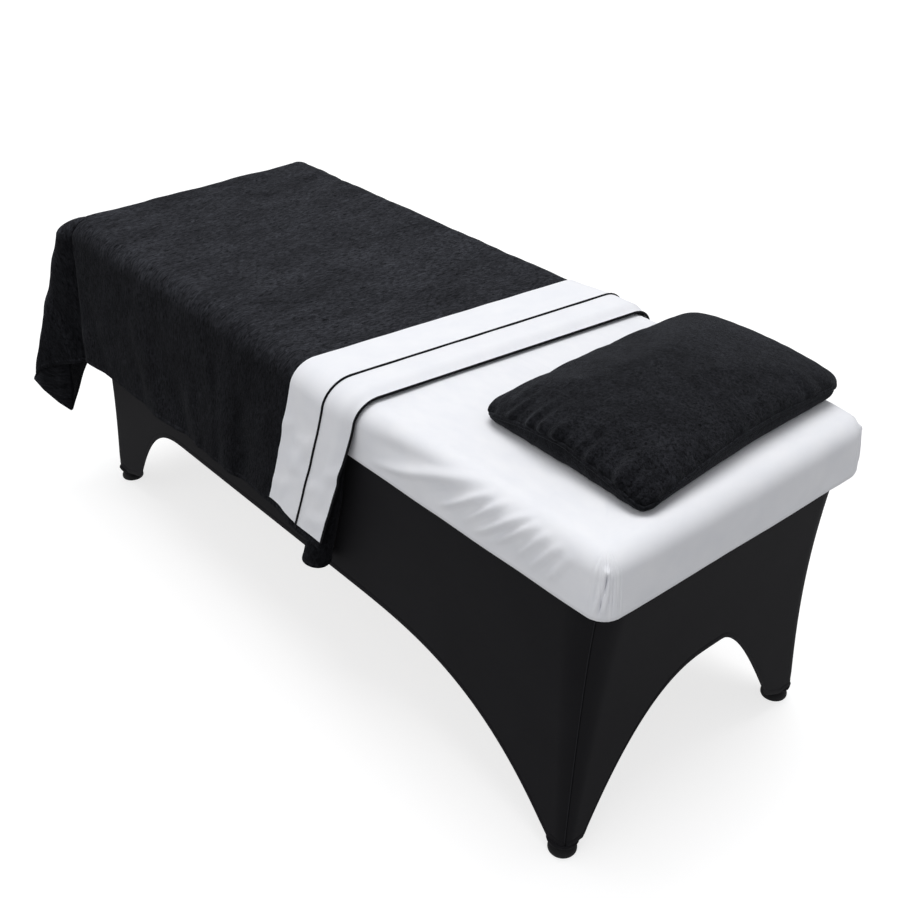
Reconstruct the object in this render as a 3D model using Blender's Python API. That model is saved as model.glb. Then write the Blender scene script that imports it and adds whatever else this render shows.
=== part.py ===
"""Massage table dressed for a treatment: padded top on a wooden frame with four splayed legs,
stretch cover, fitted sheet, blanket with a white turn-down band, and a loose pillow.

Metres, +Z up, head end towards +X, floor at Z = 0.
"""

import math

import bmesh
import bpy
from mathutils import Vector

# Padded top
PAD_LENGTH = 1.854
PAD_WIDTH = 0.711
PAD_TOP_HEIGHT = 0.732
FOAM_THICKNESS = 0.127
PAD_CORNER_RADIUS = 0.050
PAD_TOP_EDGE_RADIUS = 0.038
PAD_BOTTOM_EDGE_RADIUS = 0.016
UPHOLSTERY_THICKNESS = 0.0012
SHEET_THICKNESS = 0.0025
SHEET_HEM_TURN = math.radians(58)

# Deck and frame under the pad
DECK_THICKNESS = 0.015
DECK_END_INSET = 0.025
DECK_SIDE_INSET = 0.0125
DECK_CORNER_RADIUS = 0.072
FRAME_END_INSET = 0.055
FRAME_SIDE_INSET = 0.0215
RAIL_HEIGHT = 0.085
RAIL_THICKNESS = 0.018
BLOCK_LENGTH = 0.110
BLOCK_WIDTH = 0.100
BLOCK_CHAMFER = 0.030
BEARER_COUNT = 3
BEARER_HEIGHT = 0.050
BEARER_WIDTH = 0.035
WOOD_EDGE = 0.002

# Legs, their plates and bolts
LEG_TOP_END_INSET = 0.112
LEG_TOP_SIDE_INSET = 0.0555
LEG_TOP_SIZE = 0.044
LEG_BOTTOM_SIZE = 0.034
LEG_BOTTOM_HEIGHT = 0.035
LEG_EDGE = 0.004
PLATE_LENGTH = 0.100
PLATE_WIDTH = 0.085
PLATE_THICKNESS = 0.0045
PLATE_MARGIN = 0.007
PLATE_EDGE = 0.0008
BOLT_SHANK_RADIUS = 0.004
BOLT_LENGTH = 0.050
BOLT_HEAD_RADIUS = 0.0075
BOLT_HEAD_HEIGHT = 0.0055
BOLT_EDGE_DISTANCE = 0.018

# Levelling feet
FOOT_END_INSET = 0.081
FOOT_SIDE_INSET = 0.031
FOOT_RADIUS = 0.0285
FOOT_RIM_HEIGHT = 0.009
FOOT_EDGE = 0.002
FOOT_HUB_RADIUS = 0.020
FOOT_HUB_TOP = 0.0275
FOOT_SHOULDER_HEIGHT = 0.015
FOOT_SOCKET_FLOOR = 0.010
STEM_RADIUS = 0.005
STEM_LENGTH = 0.065
COLLAR_RADIUS = 0.0085
COLLAR_HEIGHT = 0.006
BUSH_RADIUS = 0.008
BUSH_LENGTH = 0.027
LEG_BORE_DEPTH = 0.050

# Stretch cover
COVER_THICKNESS = 0.0022
COVER_FLARE = 2.5
COVER_WAIST = 0.008
COVER_FOOT_CORNER_RADIUS = 0.026
COVER_FOOT_REACH_END = 0.030
COVER_FOOT_REACH_SIDE = 0.0265
COVER_STRIP_BOTTOM = 0.062
SIDE_HEM_HEIGHT = 0.2705
SIDE_ARCH_STARTS = 0.340
SIDE_ARCH_FOOT_INSET = 0.029
END_HEM_HEIGHT = 0.3345
END_ARCH_STARTS = 0.004
END_ARCH_FOOT_INSET = 0.026
ARCH_CURVE = 2.15
SLEEVE_HEM_HEIGHT = 0.0205
SLEEVE_HEM_RADIUS = 0.0255
SLEEVE_GATHER_HEIGHT = 0.029
SLEEVE_GATHER_RADIUS = 0.030
SLEEVE_KNUCKLE_HEIGHT = 0.042
SLEEVE_KNUCKLE_RADIUS = 0.0345
SLEEVE_TOP_RADIUS = 0.0325

# Blanket, its turned-under head edge, and the white band
BLANKET_THICKNESS = 0.005
BLANKET_SIDE_DROP = 0.385
BLANKET_END_DROP = 0.430
BLANKET_FLARE = math.radians(4.5)
BLANKET_WAVE_LENGTH = 0.340
BLANKET_WAVE_DEPTH = 0.006
FOLD_HALF_WIDTH = 0.034
FOLD_TOP_THICKNESS = 0.005
FOLD_SWELL = 0.010
FOLD_TUCK = 0.014
FOLD_TUCK_STARTS = 0.100
FOLD_TUCK_LENGTH = 0.120
FOLD_DROP = 0.454
FOLD_CLEARANCE = 0.0015
HEAD_SKEW = math.radians(5.71)
HEAD_SKEW_FADES_OVER = 0.600
SIDE_LEAN = 0.068
BAND_THICKNESS = 0.0025
BAND_FROM_HEAD = 0.581
BAND_WIDTH = 0.210
BAND_OVERHANG = 0.018
BAND_DROP = 0.362
PIPING_RADIUS = 0.0022
PIPING_SPACING = 0.100

# Corner fold of the blanket: share of the corner's quarter turn, then the hanging cloth's
# tilt from plumb towards the foot end and towards the side
CORNER_FOLD = (
    (0.000, 0.0, math.degrees(BLANKET_FLARE)),
    (0.160, -1.0, -2.0),
    (0.410, 16.0, 18.0),
    (0.535, 5.0, 8.5),
    (0.760, 9.0, -3.0),
    (1.000, math.degrees(BLANKET_FLARE), 0.0),
)

# Pillow
PILLOW_LENGTH = 0.360
PILLOW_WIDTH = 0.566
PILLOW_CROWN = 0.062
PILLOW_UNDERSIDE = 0.036
PILLOW_CORNER_DROOP = 0.016
PILLOW_DRAWN_IN = 0.022
PILLOW_SEAM = 0.004
PILLOW_SQUARENESS = 4
PILLOW_FLAT_UNDERSIDE = 1.6
PILLOW_FROM_HEAD = 0.252
PILLOW_OFF_CENTRE = 0.066

# Fits, shading and mesh fineness
GAP = 0.0004
SOFT_GAP = 0.002
HOLE_CLEARANCE = 0.0004
CRISP_ANGLE = math.radians(35)
SOFT_ANGLE = math.radians(60)
CORNER_STEPS = 5
EDGE_STEPS = 4
ROUND_SIDES = 16
BOLT_SIDES = 12
PIPING_SIDES = 6
PANEL_COLUMNS = 24
PANEL_ROWS = 4
DRAPE_ROWS = 5
CORNER_LINES = 15
TOP_COLUMNS = 4
HEAD_ROWS = 5
BLANKET_ROWS = 8
PILLOW_CELLS = 16

CORNERS = {
    "head_front": (1, -1),
    "head_back": (1, 1),
    "foot_front": (-1, -1),
    "foot_back": (-1, 1),
}

# Levels and half sizes that follow from the sizes above
PAD_BOTTOM = PAD_TOP_HEIGHT - FOAM_THICKNESS
DECK_TOP = PAD_BOTTOM - GAP
DECK_BOTTOM = DECK_TOP - DECK_THICKNESS
RAIL_TOP = DECK_BOTTOM - GAP
RAIL_BOTTOM = RAIL_TOP - RAIL_HEIGHT
PLATE_TOP = RAIL_BOTTOM - GAP
PLATE_BOTTOM = PLATE_TOP - PLATE_THICKNESS
LEG_TOP = PLATE_BOTTOM - GAP
FRAME_HALF_LENGTH = PAD_LENGTH / 2 - FRAME_END_INSET
FRAME_HALF_WIDTH = PAD_WIDTH / 2 - FRAME_SIDE_INSET
DECK_HALF_LENGTH = PAD_LENGTH / 2 - DECK_END_INSET
DECK_HALF_WIDTH = PAD_WIDTH / 2 - DECK_SIDE_INSET
FOOT_X = PAD_LENGTH / 2 - FOOT_END_INSET
FOOT_Y = PAD_WIDTH / 2 - FOOT_SIDE_INSET
LEG_TOP_X = PAD_LENGTH / 2 - LEG_TOP_END_INSET
LEG_TOP_Y = PAD_WIDTH / 2 - LEG_TOP_SIDE_INSET
UPHOLSTERY_OFFSET = GAP + UPHOLSTERY_THICKNESS
SHEET_OFFSET = UPHOLSTERY_OFFSET + GAP + SHEET_THICKNESS
COVER_TOP = DECK_TOP - GAP
COVER_TOP_LENGTH = DECK_HALF_LENGTH + SOFT_GAP + COVER_THICKNESS
COVER_TOP_WIDTH = DECK_HALF_WIDTH + SOFT_GAP + COVER_THICKNESS
COVER_TOP_RADIUS = DECK_CORNER_RADIUS + SOFT_GAP + COVER_THICKNESS
SHEET_TOP = PAD_TOP_HEIGHT + SHEET_OFFSET
SHEET_EDGE = PAD_TOP_EDGE_RADIUS + SHEET_OFFSET
EDGE_WRAP = SHEET_EDGE * math.pi / 2
FLAT_HALF_LENGTH = PAD_LENGTH / 2 + SHEET_OFFSET - SHEET_EDGE
FLAT_HALF_WIDTH = PAD_WIDTH / 2 + SHEET_OFFSET - SHEET_EDGE
SIDE_ARCH_ENDS = FOOT_X - SIDE_ARCH_FOOT_INSET
END_ARCH_ENDS = FOOT_Y - END_ARCH_FOOT_INSET
BAND_HEAD_EDGE = PAD_LENGTH / 2 - BAND_FROM_HEAD
BAND_FOOT_EDGE = BAND_HEAD_EDGE - BAND_WIDTH
MIDDLE_PIPING = BAND_HEAD_EDGE - PIPING_SPACING
BLANKET_HEAD_EDGE = BAND_HEAD_EDGE - BAND_OVERHANG
FOLD_CENTRE = BLANKET_HEAD_EDGE - FOLD_HALF_WIDTH - SOFT_GAP
FOLD_RISE_LENGTH = FOLD_CENTRE - FOLD_HALF_WIDTH - BAND_FOOT_EDGE
PILLOW_CENTRE = (PAD_LENGTH / 2 - PILLOW_FROM_HEAD, PILLOW_OFF_CENTRE)


def clear_scene():
    """Start from an empty file."""
    for thing in list(bpy.data.objects):
        bpy.data.objects.remove(thing, do_unlink=True)


def material(name, colour, roughness, metallic=0.0):
    """Principled material with a plain colour, given as linear RGB."""
    made = bpy.data.materials.new(name)
    made.use_nodes = True
    shader = made.node_tree.nodes["Principled BSDF"]
    shader.inputs["Base Color"].default_value = (*colour, 1.0)
    shader.inputs["Roughness"].default_value = roughness
    shader.inputs["Metallic"].default_value = metallic
    return made


def add_object(name, points, faces, surface, origin=(0.0, 0.0, 0.0)):
    """One closed object from its points and faces, with its origin where asked."""
    start = Vector(origin)
    mesh = bpy.data.meshes.new(name)
    mesh.from_pydata([Vector(point) - start for point in points], [], faces)
    mesh.update()
    body = bmesh.new()
    body.from_mesh(mesh)
    bmesh.ops.recalc_face_normals(body, faces=body.faces)
    body.to_mesh(mesh)
    body.free()
    mesh.materials.append(surface)
    made = bpy.data.objects.new(name, mesh)
    made.location = start
    bpy.context.scene.collection.objects.link(made)
    return made


def smooth_shading(thing, angle=CRISP_ANGLE):
    """Shade round pieces smooth and keep their crisp edges."""
    thing.data.shade_smooth()
    thing.data.set_sharp_from_angle(angle=angle)


def ring_solid(name, rings, surface, origin=(0.0, 0.0, 0.0)):
    """Skin a stack of closed outlines and cap the first and the last."""
    count = len(rings[0])
    points = [point for ring in rings for point in ring]
    faces = []
    for level in range(len(rings) - 1):
        low = level * count
        high = low + count
        for k in range(count):
            after = (k + 1) % count
            faces.append((low + k, low + after, high + after, high + k))
    faces.append(tuple(range(count)))
    faces.append(tuple(range((len(rings) - 1) * count, len(rings) * count)))
    made = add_object(name, points, faces, surface, origin)
    smooth_shading(made)
    return made


def sleeve_solid(name, rings, surface, origin=(0.0, 0.0, 0.0)):
    """Skin outlines that close on themselves, the last ring meeting the first."""
    count = len(rings[0])
    points = [point for ring in rings for point in ring]
    faces = []
    for level in range(len(rings)):
        low = level * count
        high = (level + 1) % len(rings) * count
        for k in range(count):
            after = (k + 1) % count
            faces.append((low + k, low + after, high + after, high + k))
    made = add_object(name, points, faces, surface, origin)
    smooth_shading(made)
    return made


def sheet_solid(name, outer, inner, surface, origin=(0.0, 0.0, 0.0)):
    """Close two matching grids of points into one body with a rim between them."""
    rows = len(outer)
    columns = len(outer[0])
    points = [point for row in outer for point in row] + [point for row in inner for point in row]
    below = rows * columns
    faces = []
    for i in range(rows - 1):
        for j in range(columns - 1):
            corner = i * columns + j
            cell = (corner, corner + 1, corner + columns + 1, corner + columns)
            faces.append(cell)
            faces.append(tuple(below + k for k in reversed(cell)))
    border = [j for j in range(columns)]
    border += [i * columns + columns - 1 for i in range(1, rows)]
    border += [(rows - 1) * columns + j for j in range(columns - 2, -1, -1)]
    border += [i * columns for i in range(rows - 2, 0, -1)]
    for here, after in zip(border, border[1:] + border[:1]):
        faces.append((here, after, below + after, below + here))
    made = add_object(name, points, faces, surface, origin)
    smooth_shading(made, SOFT_ANGLE)
    return made


def box(name, low, high, surface, edge=WOOD_EDGE):
    """Rectangular bar between two corners with its edges eased."""
    made = add_object(
        name,
        [(x, y, z) for x in (low[0], high[0]) for y in (low[1], high[1]) for z in (low[2], high[2])],
        [(0, 1, 3, 2), (4, 6, 7, 5), (0, 4, 5, 1), (2, 3, 7, 6), (0, 2, 6, 4), (1, 5, 7, 3)],
        surface,
    )
    bevel = made.modifiers.new("eased_edges", "BEVEL")
    bevel.width = edge
    bevel.segments = 1
    return made


def circle(radius, z, centre=(0.0, 0.0), sides=ROUND_SIDES):
    """Round outline at one height."""
    turn = 2 * math.pi / sides
    return [
        (centre[0] + radius * math.cos(k * turn), centre[1] + radius * math.sin(k * turn), z)
        for k in range(sides)
    ]


def rounded_outline(half_length, half_width, radius, z):
    """Rectangle with round corners at one height."""
    points = []
    for sx, sy, start in ((1, 1, 0), (-1, 1, 90), (-1, -1, 180), (1, -1, 270)):
        for k in range(CORNER_STEPS + 1):
            angle = math.radians(start + 90 * k / CORNER_STEPS)
            x = sx * (half_length - radius) + radius * math.cos(angle)
            y = sy * (half_width - radius) + radius * math.sin(angle)
            points.append((x, y, z))
    return points


def cut(target, cutter):
    """Take a cutter's shape out of an object."""
    cutter.hide_render = True
    cutter.display_type = "WIRE"
    hole = target.modifiers.new("hole", "BOOLEAN")
    hole.operation = "DIFFERENCE"
    hole.solver = "EXACT"
    hole.object = cutter


def blend(first, second, share):
    """Point part of the way from one value to another."""
    return first * (1 - share) + second * share


def ease(share):
    """Share from 0 to 1 with a soft start and end."""
    held = min(max(share, 0.0), 1.0)
    return held * held * (3 - 2 * held)


def pad_rings(offset, foot_angle):
    """Outlines of the pad's skin at an offset, from its flat top down to an angle on its lower edge."""
    top_radius = PAD_TOP_EDGE_RADIUS + offset
    low_radius = PAD_BOTTOM_EDGE_RADIUS + offset
    half_length = PAD_LENGTH / 2 + offset
    half_width = PAD_WIDTH / 2 + offset
    plan_radius = PAD_CORNER_RADIUS + offset
    steps = []
    for k in range(EDGE_STEPS + 1):
        angle = math.pi / 2 * k / EDGE_STEPS
        inset = top_radius * (1 - math.sin(angle))
        steps.append((inset, PAD_TOP_HEIGHT - PAD_TOP_EDGE_RADIUS + top_radius * math.cos(angle)))
    for k in range(EDGE_STEPS):
        angle = foot_angle * k / (EDGE_STEPS - 1)
        inset = low_radius * (1 - math.cos(angle))
        steps.append((inset, PAD_BOTTOM + PAD_BOTTOM_EDGE_RADIUS - low_radius * math.sin(angle)))
    return [
        rounded_outline(half_length - inset, half_width - inset, plan_radius - inset, z)
        for inset, z in steps
    ]


def build_pad(foam, vinyl, cotton):
    """Foam slab, the upholstery over it, and the fitted sheet over both."""
    ring_solid("foam_pad", pad_rings(0.0, math.pi / 2), foam)
    skin_out = pad_rings(UPHOLSTERY_OFFSET, SHEET_HEM_TURN)
    skin_in = pad_rings(GAP, SHEET_HEM_TURN)
    ring_solid("pad_upholstery", skin_out + skin_in[::-1], vinyl)
    sheet_out = pad_rings(SHEET_OFFSET, SHEET_HEM_TURN)
    sheet_in = pad_rings(SHEET_OFFSET - SHEET_THICKNESS, SHEET_HEM_TURN)
    ring_solid("fitted_sheet", sheet_out + sheet_in[::-1], cotton)


def build_frame(ply, timber):
    """Deck board, rails, cross bearers and corner blocks."""
    ring_solid(
        "deck_board",
        [
            rounded_outline(DECK_HALF_LENGTH, DECK_HALF_WIDTH, DECK_CORNER_RADIUS, z)
            for z in (DECK_BOTTOM, DECK_TOP)
        ],
        ply,
    )
    rail_half = FRAME_HALF_LENGTH - BLOCK_LENGTH - GAP
    end_half = FRAME_HALF_WIDTH - BLOCK_WIDTH - GAP
    for side, sy in (("front", -1), ("back", 1)):
        faces = sorted((sy * FRAME_HALF_WIDTH, sy * (FRAME_HALF_WIDTH - RAIL_THICKNESS)))
        low = (-rail_half, faces[0], RAIL_BOTTOM)
        box(f"side_rail_{side}", low, (rail_half, faces[1], RAIL_TOP), timber)
    for end, sx in (("head", 1), ("foot", -1)):
        faces = sorted((sx * FRAME_HALF_LENGTH, sx * (FRAME_HALF_LENGTH - RAIL_THICKNESS)))
        low = (faces[0], -end_half, RAIL_BOTTOM)
        box(f"end_rail_{end}", low, (faces[1], end_half, RAIL_TOP), timber)
    bearer_half = FRAME_HALF_WIDTH - RAIL_THICKNESS - GAP
    spacing = 2 * rail_half / (BEARER_COUNT + 1)
    for k in range(BEARER_COUNT):
        middle = -rail_half + spacing * (k + 1)
        low = (middle - BEARER_WIDTH / 2, -bearer_half, RAIL_TOP - BEARER_HEIGHT)
        high = (middle + BEARER_WIDTH / 2, bearer_half, RAIL_TOP)
        box(f"cross_bearer_{k + 1}", low, high, timber)


def bolt_places(sx, sy):
    """Where the two bolts of one leg plate stand, on its inner side."""
    outer_x = FRAME_HALF_LENGTH - PLATE_MARGIN
    inner_y = FRAME_HALF_WIDTH - PLATE_MARGIN - PLATE_WIDTH + BOLT_EDGE_DISTANCE
    return [
        (sx * (outer_x - BOLT_EDGE_DISTANCE), sy * inner_y),
        (sx * (outer_x - PLATE_LENGTH + BOLT_EDGE_DISTANCE), sy * inner_y),
    ]


def bolt_cutters(corner, sx, sy):
    """Clearance holes for one plate's bolts, from under the plate up into the block."""
    bottom = PLATE_BOTTOM - BOLT_HEAD_HEIGHT
    top = PLATE_BOTTOM + BOLT_LENGTH + HOLE_CLEARANCE
    radius = BOLT_SHANK_RADIUS + HOLE_CLEARANCE
    cutters = []
    for k, place in enumerate(bolt_places(sx, sy)):
        rings = [circle(radius, z, place, BOLT_SIDES) for z in (bottom, top)]
        cutters.append(ring_solid(f"bolt_hole_{corner}_{k + 1}", rings, None))
    return cutters


def build_corner_block(corner, sx, sy, cutters, timber):
    """Corner block that ties two rails together and takes the leg bolts."""
    far_x = FRAME_HALF_LENGTH
    far_y = FRAME_HALF_WIDTH
    near_x = far_x - BLOCK_LENGTH
    near_y = far_y - BLOCK_WIDTH
    plan = [
        (near_x, near_y),
        (far_x, near_y),
        (far_x, far_y - BLOCK_CHAMFER),
        (far_x - BLOCK_CHAMFER, far_y),
        (near_x, far_y),
    ]
    rings = [[(sx * x, sy * y, z) for x, y in plan] for z in (RAIL_BOTTOM, RAIL_TOP)]
    block = ring_solid(f"corner_block_{corner}", rings, timber)
    for cutter in cutters:
        cut(block, cutter)


def build_leg_plate(corner, sx, sy, cutters, steel):
    """Steel plate between a leg and its corner block."""
    outer_x = FRAME_HALF_LENGTH - PLATE_MARGIN
    outer_y = FRAME_HALF_WIDTH - PLATE_MARGIN
    xs = sorted((sx * outer_x, sx * (outer_x - PLATE_LENGTH)))
    ys = sorted((sy * outer_y, sy * (outer_y - PLATE_WIDTH)))
    low = (xs[0], ys[0], PLATE_BOTTOM)
    plate = box(f"leg_plate_{corner}", low, (xs[1], ys[1], PLATE_TOP), steel, PLATE_EDGE)
    for cutter in cutters:
        cut(plate, cutter)


def build_bolts(corner, sx, sy, zinc):
    """Hexagon bolts that hold a leg plate up to its block."""
    head_bottom = PLATE_BOTTOM - GAP - BOLT_HEAD_HEIGHT
    head_top = PLATE_BOTTOM - GAP
    shank_top = PLATE_BOTTOM + BOLT_LENGTH
    for k, place in enumerate(bolt_places(sx, sy)):
        rings = [
            hexagon(BOLT_HEAD_RADIUS, head_bottom, place),
            hexagon(BOLT_HEAD_RADIUS, head_top, place),
            circle(BOLT_SHANK_RADIUS, head_top, place, BOLT_SIDES),
            circle(BOLT_SHANK_RADIUS, shank_top, place, BOLT_SIDES),
        ]
        ring_solid(f"plate_bolt_{corner}_{k + 1}", rings, zinc)


def hexagon(radius, z, centre):
    """Six-sided outline with as many points as a bolt's shank."""
    points = []
    for k in range(BOLT_SIDES):
        angle = 2 * math.pi * k / BOLT_SIDES
        within = (angle % (math.pi / 3)) - math.pi / 6
        reach = radius * math.cos(math.pi / 6) / math.cos(within)
        points.append((centre[0] + reach * math.cos(angle), centre[1] + reach * math.sin(angle), z))
    return points


def build_leg(corner, sx, sy, lacquer):
    """Tapered square leg that splays out from its plate to its foot."""
    rings = []
    for x, y, size, z in (
        (LEG_TOP_X, LEG_TOP_Y, LEG_TOP_SIZE, LEG_TOP),
        (FOOT_X, FOOT_Y, LEG_BOTTOM_SIZE, LEG_BOTTOM_HEIGHT),
    ):
        flat = size / 2 - LEG_EDGE
        full = size / 2
        plan = [
            (full, flat), (flat, full), (-flat, full), (-full, flat),
            (-full, -flat), (-flat, -full), (flat, -full), (full, -flat),
        ]
        rings.append([(sx * x + dx, sy * y + dy, z) for dx, dy in plan])
    leg = ring_solid(f"leg_{corner}", rings, lacquer)
    place = (sx * FOOT_X, sy * FOOT_Y)
    bore_levels = (LEG_BOTTOM_HEIGHT - LEG_EDGE, LEG_BOTTOM_HEIGHT + LEG_BORE_DEPTH)
    bore = [circle(BUSH_RADIUS + HOLE_CLEARANCE, z, place) for z in bore_levels]
    cut(leg, ring_solid(f"leg_bore_{corner}", bore, None))


def build_foot(corner, sx, sy, brass, zinc, rubber):
    """Threaded bush in the leg, levelling stem with its turning collar, and the round foot on it."""
    place = (sx * FOOT_X, sy * FOOT_Y)
    origin = (*place, 0.0)
    bore_radius = STEM_RADIUS + HOLE_CLEARANCE
    bush_bottom = LEG_BOTTOM_HEIGHT + GAP
    bush_top = bush_bottom + BUSH_LENGTH
    bush = [
        circle(BUSH_RADIUS, bush_bottom, place),
        circle(BUSH_RADIUS, bush_top, place),
        circle(bore_radius, bush_top, place),
        circle(bore_radius, bush_bottom, place),
    ]
    sleeve_solid(f"foot_bush_{corner}", bush, brass)
    stem_bottom = FOOT_SOCKET_FLOOR + GAP
    collar_bottom = FOOT_HUB_TOP + GAP
    collar_top = collar_bottom + COLLAR_HEIGHT
    stem = [
        circle(STEM_RADIUS, stem_bottom, place, BOLT_SIDES),
        circle(STEM_RADIUS, collar_bottom, place, BOLT_SIDES),
        hexagon(COLLAR_RADIUS, collar_bottom, place),
        hexagon(COLLAR_RADIUS, collar_top, place),
        circle(STEM_RADIUS, collar_top, place, BOLT_SIDES),
        circle(STEM_RADIUS, stem_bottom + STEM_LENGTH, place, BOLT_SIDES),
    ]
    ring_solid(f"foot_stem_{corner}", stem, zinc, origin)
    foot = [
        circle(FOOT_RADIUS - FOOT_EDGE, 0.0, place),
        circle(FOOT_RADIUS, FOOT_EDGE, place),
        circle(FOOT_RADIUS, FOOT_RIM_HEIGHT, place),
        circle(FOOT_HUB_RADIUS, FOOT_SHOULDER_HEIGHT, place),
        circle(FOOT_HUB_RADIUS, FOOT_HUB_TOP, place),
        circle(bore_radius, FOOT_HUB_TOP, place),
        circle(bore_radius, FOOT_SOCKET_FLOOR, place),
    ]
    ring_solid(f"foot_pad_{corner}", foot, rubber, origin)


def build_legs(timber, lacquer, steel, zinc, brass, rubber):
    """The four corners: block, plate, bolts, leg and levelling foot."""
    for corner, (sx, sy) in CORNERS.items():
        cutters = bolt_cutters(corner, sx, sy)
        build_corner_block(corner, sx, sy, cutters, timber)
        build_leg_plate(corner, sx, sy, cutters, steel)
        build_bolts(corner, sx, sy, zinc)
        build_leg(corner, sx, sy, lacquer)
        build_foot(corner, sx, sy, brass, zinc, rubber)


def cover_section(z):
    """Half length, half width and corner radius of the stretch cover at one height."""
    fall = max(DECK_BOTTOM - z, 0.0) / (DECK_BOTTOM - COVER_STRIP_BOTTOM)
    flare = (1 - fall) ** COVER_FLARE
    half_length = blend(FOOT_X + COVER_FOOT_REACH_END, COVER_TOP_LENGTH, flare)
    half_width = blend(FOOT_Y + COVER_FOOT_REACH_SIDE, COVER_TOP_WIDTH, flare)
    half_width -= COVER_WAIST * math.sin(math.pi * fall)
    radius = blend(COVER_TOP_RADIUS, COVER_FOOT_CORNER_RADIUS, fall)
    return half_length, half_width, radius


def arch(place, starts, ends, hem):
    """Height of a panel's lower edge: level in the middle, sweeping down into each leg."""
    share = min(max((abs(place) - starts) / (ends - starts), 0.0), 1.0)
    return hem - (hem - COVER_STRIP_BOTTOM) * share ** ARCH_CURVE


def panel_point(share, z, lengthwise, depth):
    """Point on a cover panel: its share of the way from the panel's middle to the corner seam."""
    half_length, half_width, radius = cover_section(z)
    along, across = (half_length, half_width) if lengthwise else (half_width, half_length)
    straight = along - radius
    seam = straight + radius * math.sqrt(0.5) - GAP
    place = share * seam
    into_corner = max(abs(place) - straight, 0.0)
    angle = math.asin(min(into_corner / radius, 1.0))
    inner = radius - depth
    place = math.copysign(min(abs(place), straight) + inner * math.sin(angle), place)
    reach = across - radius + inner * math.cos(angle)
    return place, reach


def build_cover_panel(name, lengthwise, sign, fabric):
    """One panel of the stretch cover, from the deck's edge down to its arched hem."""
    half_length, half_width, radius = cover_section(COVER_STRIP_BOTTOM)
    seam = (half_length if lengthwise else half_width) - radius * (1 - math.sqrt(0.5))
    if lengthwise:
        starts, ends, hem = SIDE_ARCH_STARTS, SIDE_ARCH_ENDS, SIDE_HEM_HEIGHT
    else:
        starts, ends, hem = END_ARCH_STARTS, END_ARCH_ENDS, END_HEM_HEIGHT
    grids = ([], [])
    for column in range(PANEL_COLUMNS + 1):
        share = math.sin(math.pi / 2 * (2 * column / PANEL_COLUMNS - 1))
        low = arch(share * seam, starts, ends, hem)
        lines = ([], [])
        for z in [COVER_TOP] + steps(DECK_BOTTOM, low, PANEL_ROWS):
            for line, depth in zip(lines, (0.0, COVER_THICKNESS)):
                place, reach = panel_point(share, z, lengthwise, depth)
                line.append((place, sign * reach, z) if lengthwise else (sign * reach, place, z))
        for grid, line in zip(grids, lines):
            grid.append(line)
    sheet_solid(name, grids[0], grids[1], fabric)


def build_cover(fabric):
    """Four arched panels sewn at the corners, and a sleeve round the foot of each leg."""
    build_cover_panel("cover_panel_front", True, -1, fabric)
    build_cover_panel("cover_panel_back", True, 1, fabric)
    build_cover_panel("cover_panel_head", False, 1, fabric)
    build_cover_panel("cover_panel_foot", False, -1, fabric)
    top = COVER_STRIP_BOTTOM - GAP
    outside = [
        (SLEEVE_HEM_RADIUS, SLEEVE_HEM_HEIGHT),
        (SLEEVE_GATHER_RADIUS, SLEEVE_GATHER_HEIGHT),
        (SLEEVE_KNUCKLE_RADIUS, SLEEVE_KNUCKLE_HEIGHT),
        (SLEEVE_TOP_RADIUS, top),
    ]
    inside = [(radius - COVER_THICKNESS, z) for radius, z in reversed(outside)]
    for corner, (sx, sy) in CORNERS.items():
        place = (sx * FOOT_X, sy * FOOT_Y)
        rings = [circle(radius, z, place) for radius, z in outside + inside]
        sleeve_solid(f"cover_sleeve_{corner}", rings, fabric)


def corner_tilt(share):
    """Tilt of the hanging corner cloth towards the foot end and towards the side, in radians."""
    for before, after in zip(CORNER_FOLD, CORNER_FOLD[1:]):
        if share <= after[0]:
            step = ease((share - before[0]) / (after[0] - before[0]))
            return tuple(math.radians(blend(before[k], after[k], step)) for k in (1, 2))
    return BLANKET_FLARE, 0.0


def hang(drop):
    """Length of cloth that hangs free, once it has passed the table's round edge."""
    return max(drop - EDGE_WRAP, 0.0)


def head_shift(place, across):
    """How far the bedding lies towards the head: askew over the top, leaning to the foot as it hangs."""
    fade = ease((place - BAND_FOOT_EDGE) / HEAD_SKEW_FADES_OVER + 1)
    lean = SIDE_LEAN * hang(abs(across) - FLAT_HALF_WIDTH) / BLANKET_SIDE_DROP
    return fade * (math.tan(HEAD_SKEW) * across - lean)


def fold_swell(drop):
    """How much further the turned-under edge stands out as it hangs down the side."""
    return FOLD_SWELL * ease(hang(drop) / BLANKET_SIDE_DROP)


def fold_rise(place, drop):
    """How far the bedding is lifted off the sheet by the turned-under edge below it."""
    lift = FOLD_TOP_THICKNESS + FOLD_CLEARANCE + fold_swell(drop)
    return lift * ease((place - BAND_FOOT_EDGE) / FOLD_RISE_LENGTH)


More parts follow.
